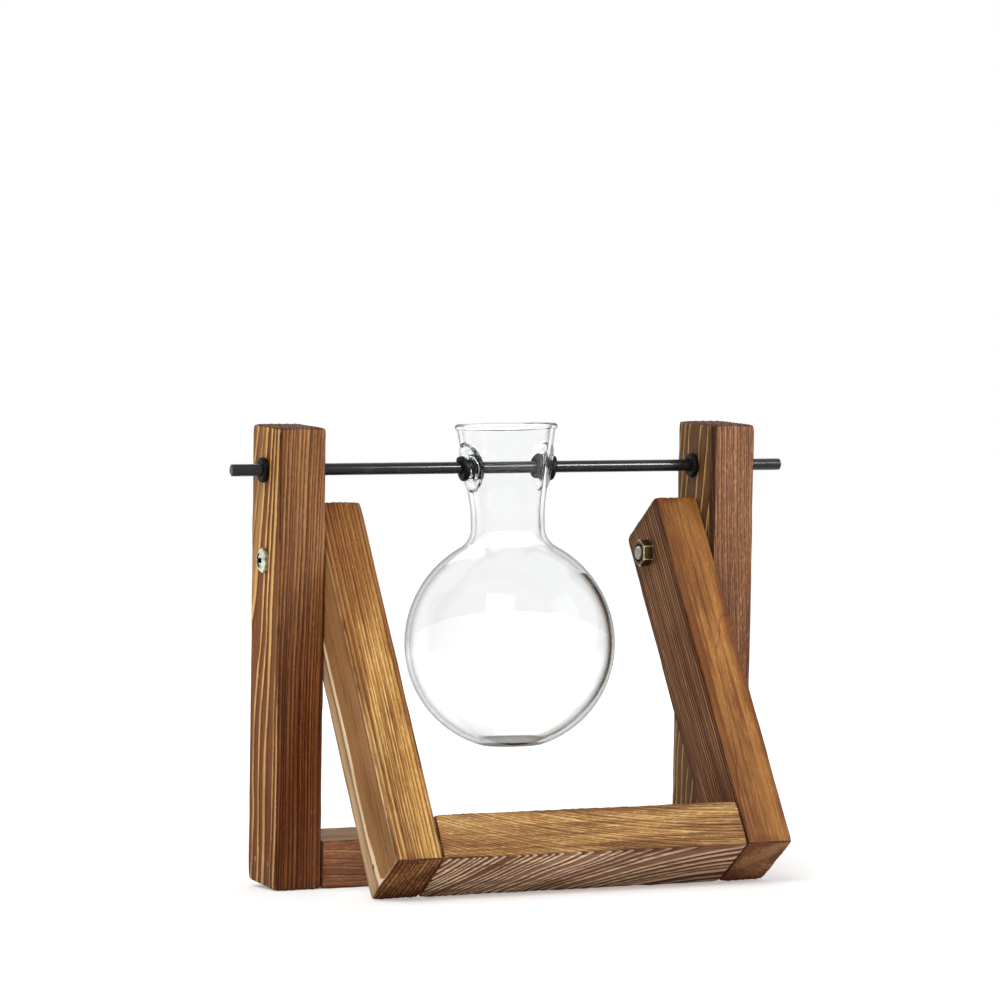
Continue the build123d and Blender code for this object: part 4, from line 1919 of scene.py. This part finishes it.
@dataclass
class Stand:
    """The wooden stand: a rear frame that carries the rod and a front frame hinged to it."""

    pivot: Vector
    rod_axis: Vector
    fold: float = math.radians(36.0)
    rod_bore: float = 2.58 * MM
    bolt_bore: float = 3.08 * MM
    brad: PlatedFinish = PlatedFinish("stained_brad", "6b5540", "4a3524", 0.6)

    def frames(self) -> tuple[LeanFrame, LeanFrame]:
        """Works out how both frames lean, from the rod's place over the pivot.

        Returns:
            The rear and the front frame.
        """
        rise = self.rod_axis - self.pivot
        lean = math.atan2(-rise.y, rise.z)
        rear = LeanFrame("rear_frame", self.pivot, lean)
        return rear, LeanFrame("front_frame", self.pivot, lean - self.fold)

    def rear_bars(self, frame: LeanFrame) -> list[Bar]:
        """Lists the bars of the rear frame with their grain and finish.

        Args:
            frame: the rear frame.

        Returns:
            The left post, the right post and the rail.
        """
        bores = ((0.0, self.bolt_bore), ((self.rod_axis - self.pivot).length, self.rod_bore))
        dark_foot = ((0.0, 0.2), (0.3, 0.23), (0.5, 0.4), (0.72, 0.96))
        brown_foot = ((0.0, 0.65), (0.6, 0.97))
        faint_foot = ((0.0, 0.85), (0.6, 0.9), (0.85, 1.0))
        return [
            Bar(
                "left_post",
                frame,
                Lie.UPRIGHT,
                "post_wood",
                Grain(1.45, (-150.0, 30.0), climb=-0.003, ease=-13.0, wander=0.3, line=2.0, seed=0.7),
                WoodFinish(
                    "left_post_stain",
                    FaceTone("7f4b27", "c7935c", 0.45, 0.25, char=0.35, edge=0.05, spared_along=dark_foot),
                    FaceTone("855028", "f4c078", 1.2, 0.12, edge=0.0, gold=0.45, spared_along=brown_foot),
                    end="3a2013",
                ),
                bores,
            ),
            Bar(
                "right_post",
                frame,
                Lie.UPRIGHT,
                "post_wood",
                Grain(1.3, (-160.0, -31.0), climb=0.03, wander=0.45, line=1.1, seed=3.1),
                WoodFinish(
                    "right_post_stain",
                    FaceTone("8a593d", "d2a070", 0.32, 0.6, char=0.35, spared_along=faint_foot),
                    FaceTone("6b4a2e", "d2a96e", 1.0, 0.1, char=0.4),
                    end="3a2013",
                ),
                bores,
                planed_edge=(-1, -1),
            ),
            Bar(
                "rear_rail",
                frame,
                Lie.LEVEL,
                "post_wood",
                Grain(2.1, (-40.0, 52.0), climb=0.03, seed=5.2),
                WoodFinish(
                    "rear_rail_stain",
                    FaceTone("8e5a3a", "c79a6e", 0.5, 0.4, char=0.6),
                    FaceTone("8a6a4c", "b8946b", 0.4, 0.4, char=0.4),
                ),
            ),
        ]

    def front_bars(self, frame: LeanFrame) -> list[Bar]:
        """Lists the bars of the front frame with their grain and finish.

        Args:
            frame: the front frame.

        Returns:
            The left leg, the right leg and the rail.
        """
        bores = ((0.0, self.bolt_bore),)
        dark_head = ((0.0, 0.8), (0.25, 0.86), (0.42, 1.0), (0.56, 0.8), (0.7, 0.28), (0.86, 0.14))
        brown_head = ((0.0, 0.85), (0.5, 1.0), (0.84, 0.7))
        brown_end = ((0.0, 1.0), (0.35, 1.0), (0.66, 0.6))
        return [
            Bar(
                "left_leg",
                frame,
                Lie.UPRIGHT,
                "leg_wood",
                Grain(1.6, (-280.0, -13.0), climb=0.0005, wander=0.16, line=2.2, seed=3.6),
                WoodFinish(
                    "left_leg_stain",
                    FaceTone("c68b3d", "f8d38c", 0.5, 0.4, char=0.8, edge=0.12, spared_along=dark_head),
                    FaceTone("a07245", "ffe2b8", 1.7, 0.08, char=0.45, edge=0.0, gold=0.35),
                ),
                bores,
            ),
            Bar(
                "right_leg",
                frame,
                Lie.UPRIGHT,
                "leg_wood",
                Grain(1.6, (4.0, 74.0), climb=0.015, seed=4.4),
                WoodFinish(
                    "right_leg_stain",
                    FaceTone("a66e32", "cf9d5c", 0.2, 0.35, char=0.75, edge=0.2, spared_along=brown_head),
                    FaceTone("603b26", "b8895c", 0.75, 0.1, char=0.5, edge=0.2),
                    end="a17758",
                ),
                bores,
            ),
            Bar(
                "front_rail",
                frame,
                Lie.LEVEL,
                "leg_wood",
                Grain(1.2, (-155.0, -40.0), climb=0.39, ease=0.93, wander=0.3, line=1.5, seed=2.6),
                WoodFinish(
                    "front_rail_stain",
                    FaceTone("a9783c", "ecc07e", 0.5, 0.55, char=0.7),
                    FaceTone("8a5840", "ffe2be", 1.7, 0.1, char=0.4, spared_along=brown_end),
                ),
                cell_along=1.1 * MM,
            ),
        ]

    def build(self, nodes: dict[str, bpy.types.Object]) -> None:
        """Builds every bar and dresses the brads that hold the rails.

        Args:
            nodes: the frame's CAD nodes.
        """
        rear, front = self.frames()
        for bar in self.rear_bars(rear) + self.front_bars(front):
            bar.build(nodes[bar.node])
        steel = self.brad.material()
        for name in ("rear_rail_brads", "front_rail_brads"):
            nodes[name].data.materials.clear()
            nodes[name].data.materials.append(steel)


@dataclass(frozen=True)
class Softbox:
    """One soft light: its place and size in metres, its power, and whether it lights matt surfaces too."""

    name: str
    place: tuple[float, float, float]
    width: float
    height: float
    power: float
    lights_matt: bool = True

    def build(self, target: Vector) -> None:
        """Hangs the light facing the object.

        Args:
            target: the place that it faces.
        """
        light = bpy.data.lights.new(self.name, "AREA")
        light.shape = "RECTANGLE"
        light.size, light.size_y, light.energy = self.width, self.height, self.power
        lamp = bpy.data.objects.new(self.name, light)
        lamp.location = self.place
        lamp.rotation_euler = (target - Vector(self.place)).to_track_quat("-Z", "Y").to_euler()
        lamp.visible_diffuse = self.lights_matt
        bpy.context.scene.collection.objects.link(lamp)


@dataclass
class Studio:
    """White studio: floor, soft light from above the camera's left, and the photograph's own view."""

    camera_place: Vector = field(default_factory=lambda: Vector((-690.66, -1621.38, 152.08)) * MM)
    yaw: float = math.radians(22.6217)
    pitch: float = math.radians(0.1932)
    roll: float = math.radians(-0.9133)
    focal_pixels: float = 4268.68
    image_pixels: float = 1000.0
    sensor: float = 36.0
    clip_end: float = 50.0
    floor_radius: float = 8.0
    floor_steps: int = 96
    floor: FloorFinish = FloorFinish()
    ambient: float = 0.52
    lamp_target: Vector = field(default_factory=lambda: Vector((0.0, 0.0, 0.1)))
    lamps: tuple[Softbox, ...] = (
        Softbox("key_softbox", (-1.1, -1.5, 1.7), 1.3, 1.3, 26.0),
        Softbox("fill_softbox", (1.5, -1.2, 1.0), 1.2, 1.2, 7.0),
        Softbox("back_softbox", (0.3, 1.5, 1.6), 1.2, 1.2, 8.0),
        Softbox("gloss_strip", (1.1, -1.75, 1.05), 1.5, 0.28, 130.0, lights_matt=False),
    )

    def build(self) -> None:
        """Sets the floor, the light and the camera."""
        self._floor()
        self._world()
        for lamp in self.lamps:
            lamp.build(self.lamp_target)
        self._camera()

    def _floor(self) -> None:
        """Lays the floor under the object."""
        shape = bmesh.new()
        bmesh.ops.create_circle(shape, cap_ends=True, segments=self.floor_steps, radius=self.floor_radius)
        mesh = mesh_of(shape, "floor")
        mesh.materials.append(self.floor.material())
        floor = bpy.data.objects.new("floor", mesh)
        bpy.context.scene.collection.objects.link(floor)

    def _world(self) -> None:
        """Surrounds the object with plain light that looks white."""
        world = bpy.data.worlds.new("white_room")
        bpy.context.scene.world = world
        world.use_nodes = True
        shader = Shader(world.node_tree)
        strength = looking_ray(shader).between(self.ambient, 1.0)
        room = shader.node("ShaderNodeBackground", {}, {"Color": WHITE, "Strength": strength})
        shader.node("ShaderNodeOutputWorld", {}, {"Surface": room.outputs[0]})

    def _camera(self) -> None:
        """Stands the camera where the photograph was taken."""
        forward = Vector((math.sin(self.yaw), math.cos(self.yaw), 0.0)) * math.cos(self.pitch)
        forward.z = math.sin(self.pitch)
        level = Vector((math.cos(self.yaw), -math.sin(self.yaw), 0.0))
        upright = level.cross(forward)
        right = math.cos(self.roll) * level + math.sin(self.roll) * upright
        up = math.cos(self.roll) * upright - math.sin(self.roll) * level
        data = bpy.data.cameras.new("photo_view")
        data.sensor_width = self.sensor
        data.lens = self.focal_pixels * self.sensor / self.image_pixels
        data.clip_end = self.clip_end
        camera = bpy.data.objects.new("photo_view", data)
        turn = Matrix((right, up, -forward)).transposed()
        camera.matrix_world = Matrix.Translation(self.camera_place) @ turn.to_4x4()
        bpy.context.scene.collection.objects.link(camera)
        bpy.context.scene.camera = camera


def joint_place(frame: dict, name: str) -> Vector:
    """Gives a joint's place in the frame's own axes."""
    return Vector(next(joint["pos_m"] for joint in frame["joints"] if joint["name"] == name))


def main() -> None:
    """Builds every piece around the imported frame."""
    logging.basicConfig(level=logging.INFO, format="%(name)s: %(message)s")
    bpy.context.scene.view_settings.view_transform = "Standard"
    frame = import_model()
    pivot, rod_axis = joint_place(frame, "frame_fold"), joint_place(frame, "rod_turn")

    Stand(pivot, rod_axis).build(frame["nodes"])
    vase = GlassVase()
    vase.build(rod_axis)
    hanger = Hanger()
    hanger.build_rod(rod_axis)
    rubber = hanger.rubber.material()
    for side in Side:
        for face in ("outer", "inner"):
            hanger.build_ring(f"{side.word}_{face}_ring", rod_axis, rubber)
        hanger.build_grommet(side, vase, rod_axis, rubber)
    hardware = PivotHardware()
    bolt_plate, nut_plate = hardware.bolt_plate.material(), hardware.nut_plate.material()
    for side in Side:
        hardware.build_bolt(side, pivot, bolt_plate)
        hardware.build_nut(side, pivot, nut_plate)
    Studio().build()


if __name__ == "__main__":
    main()
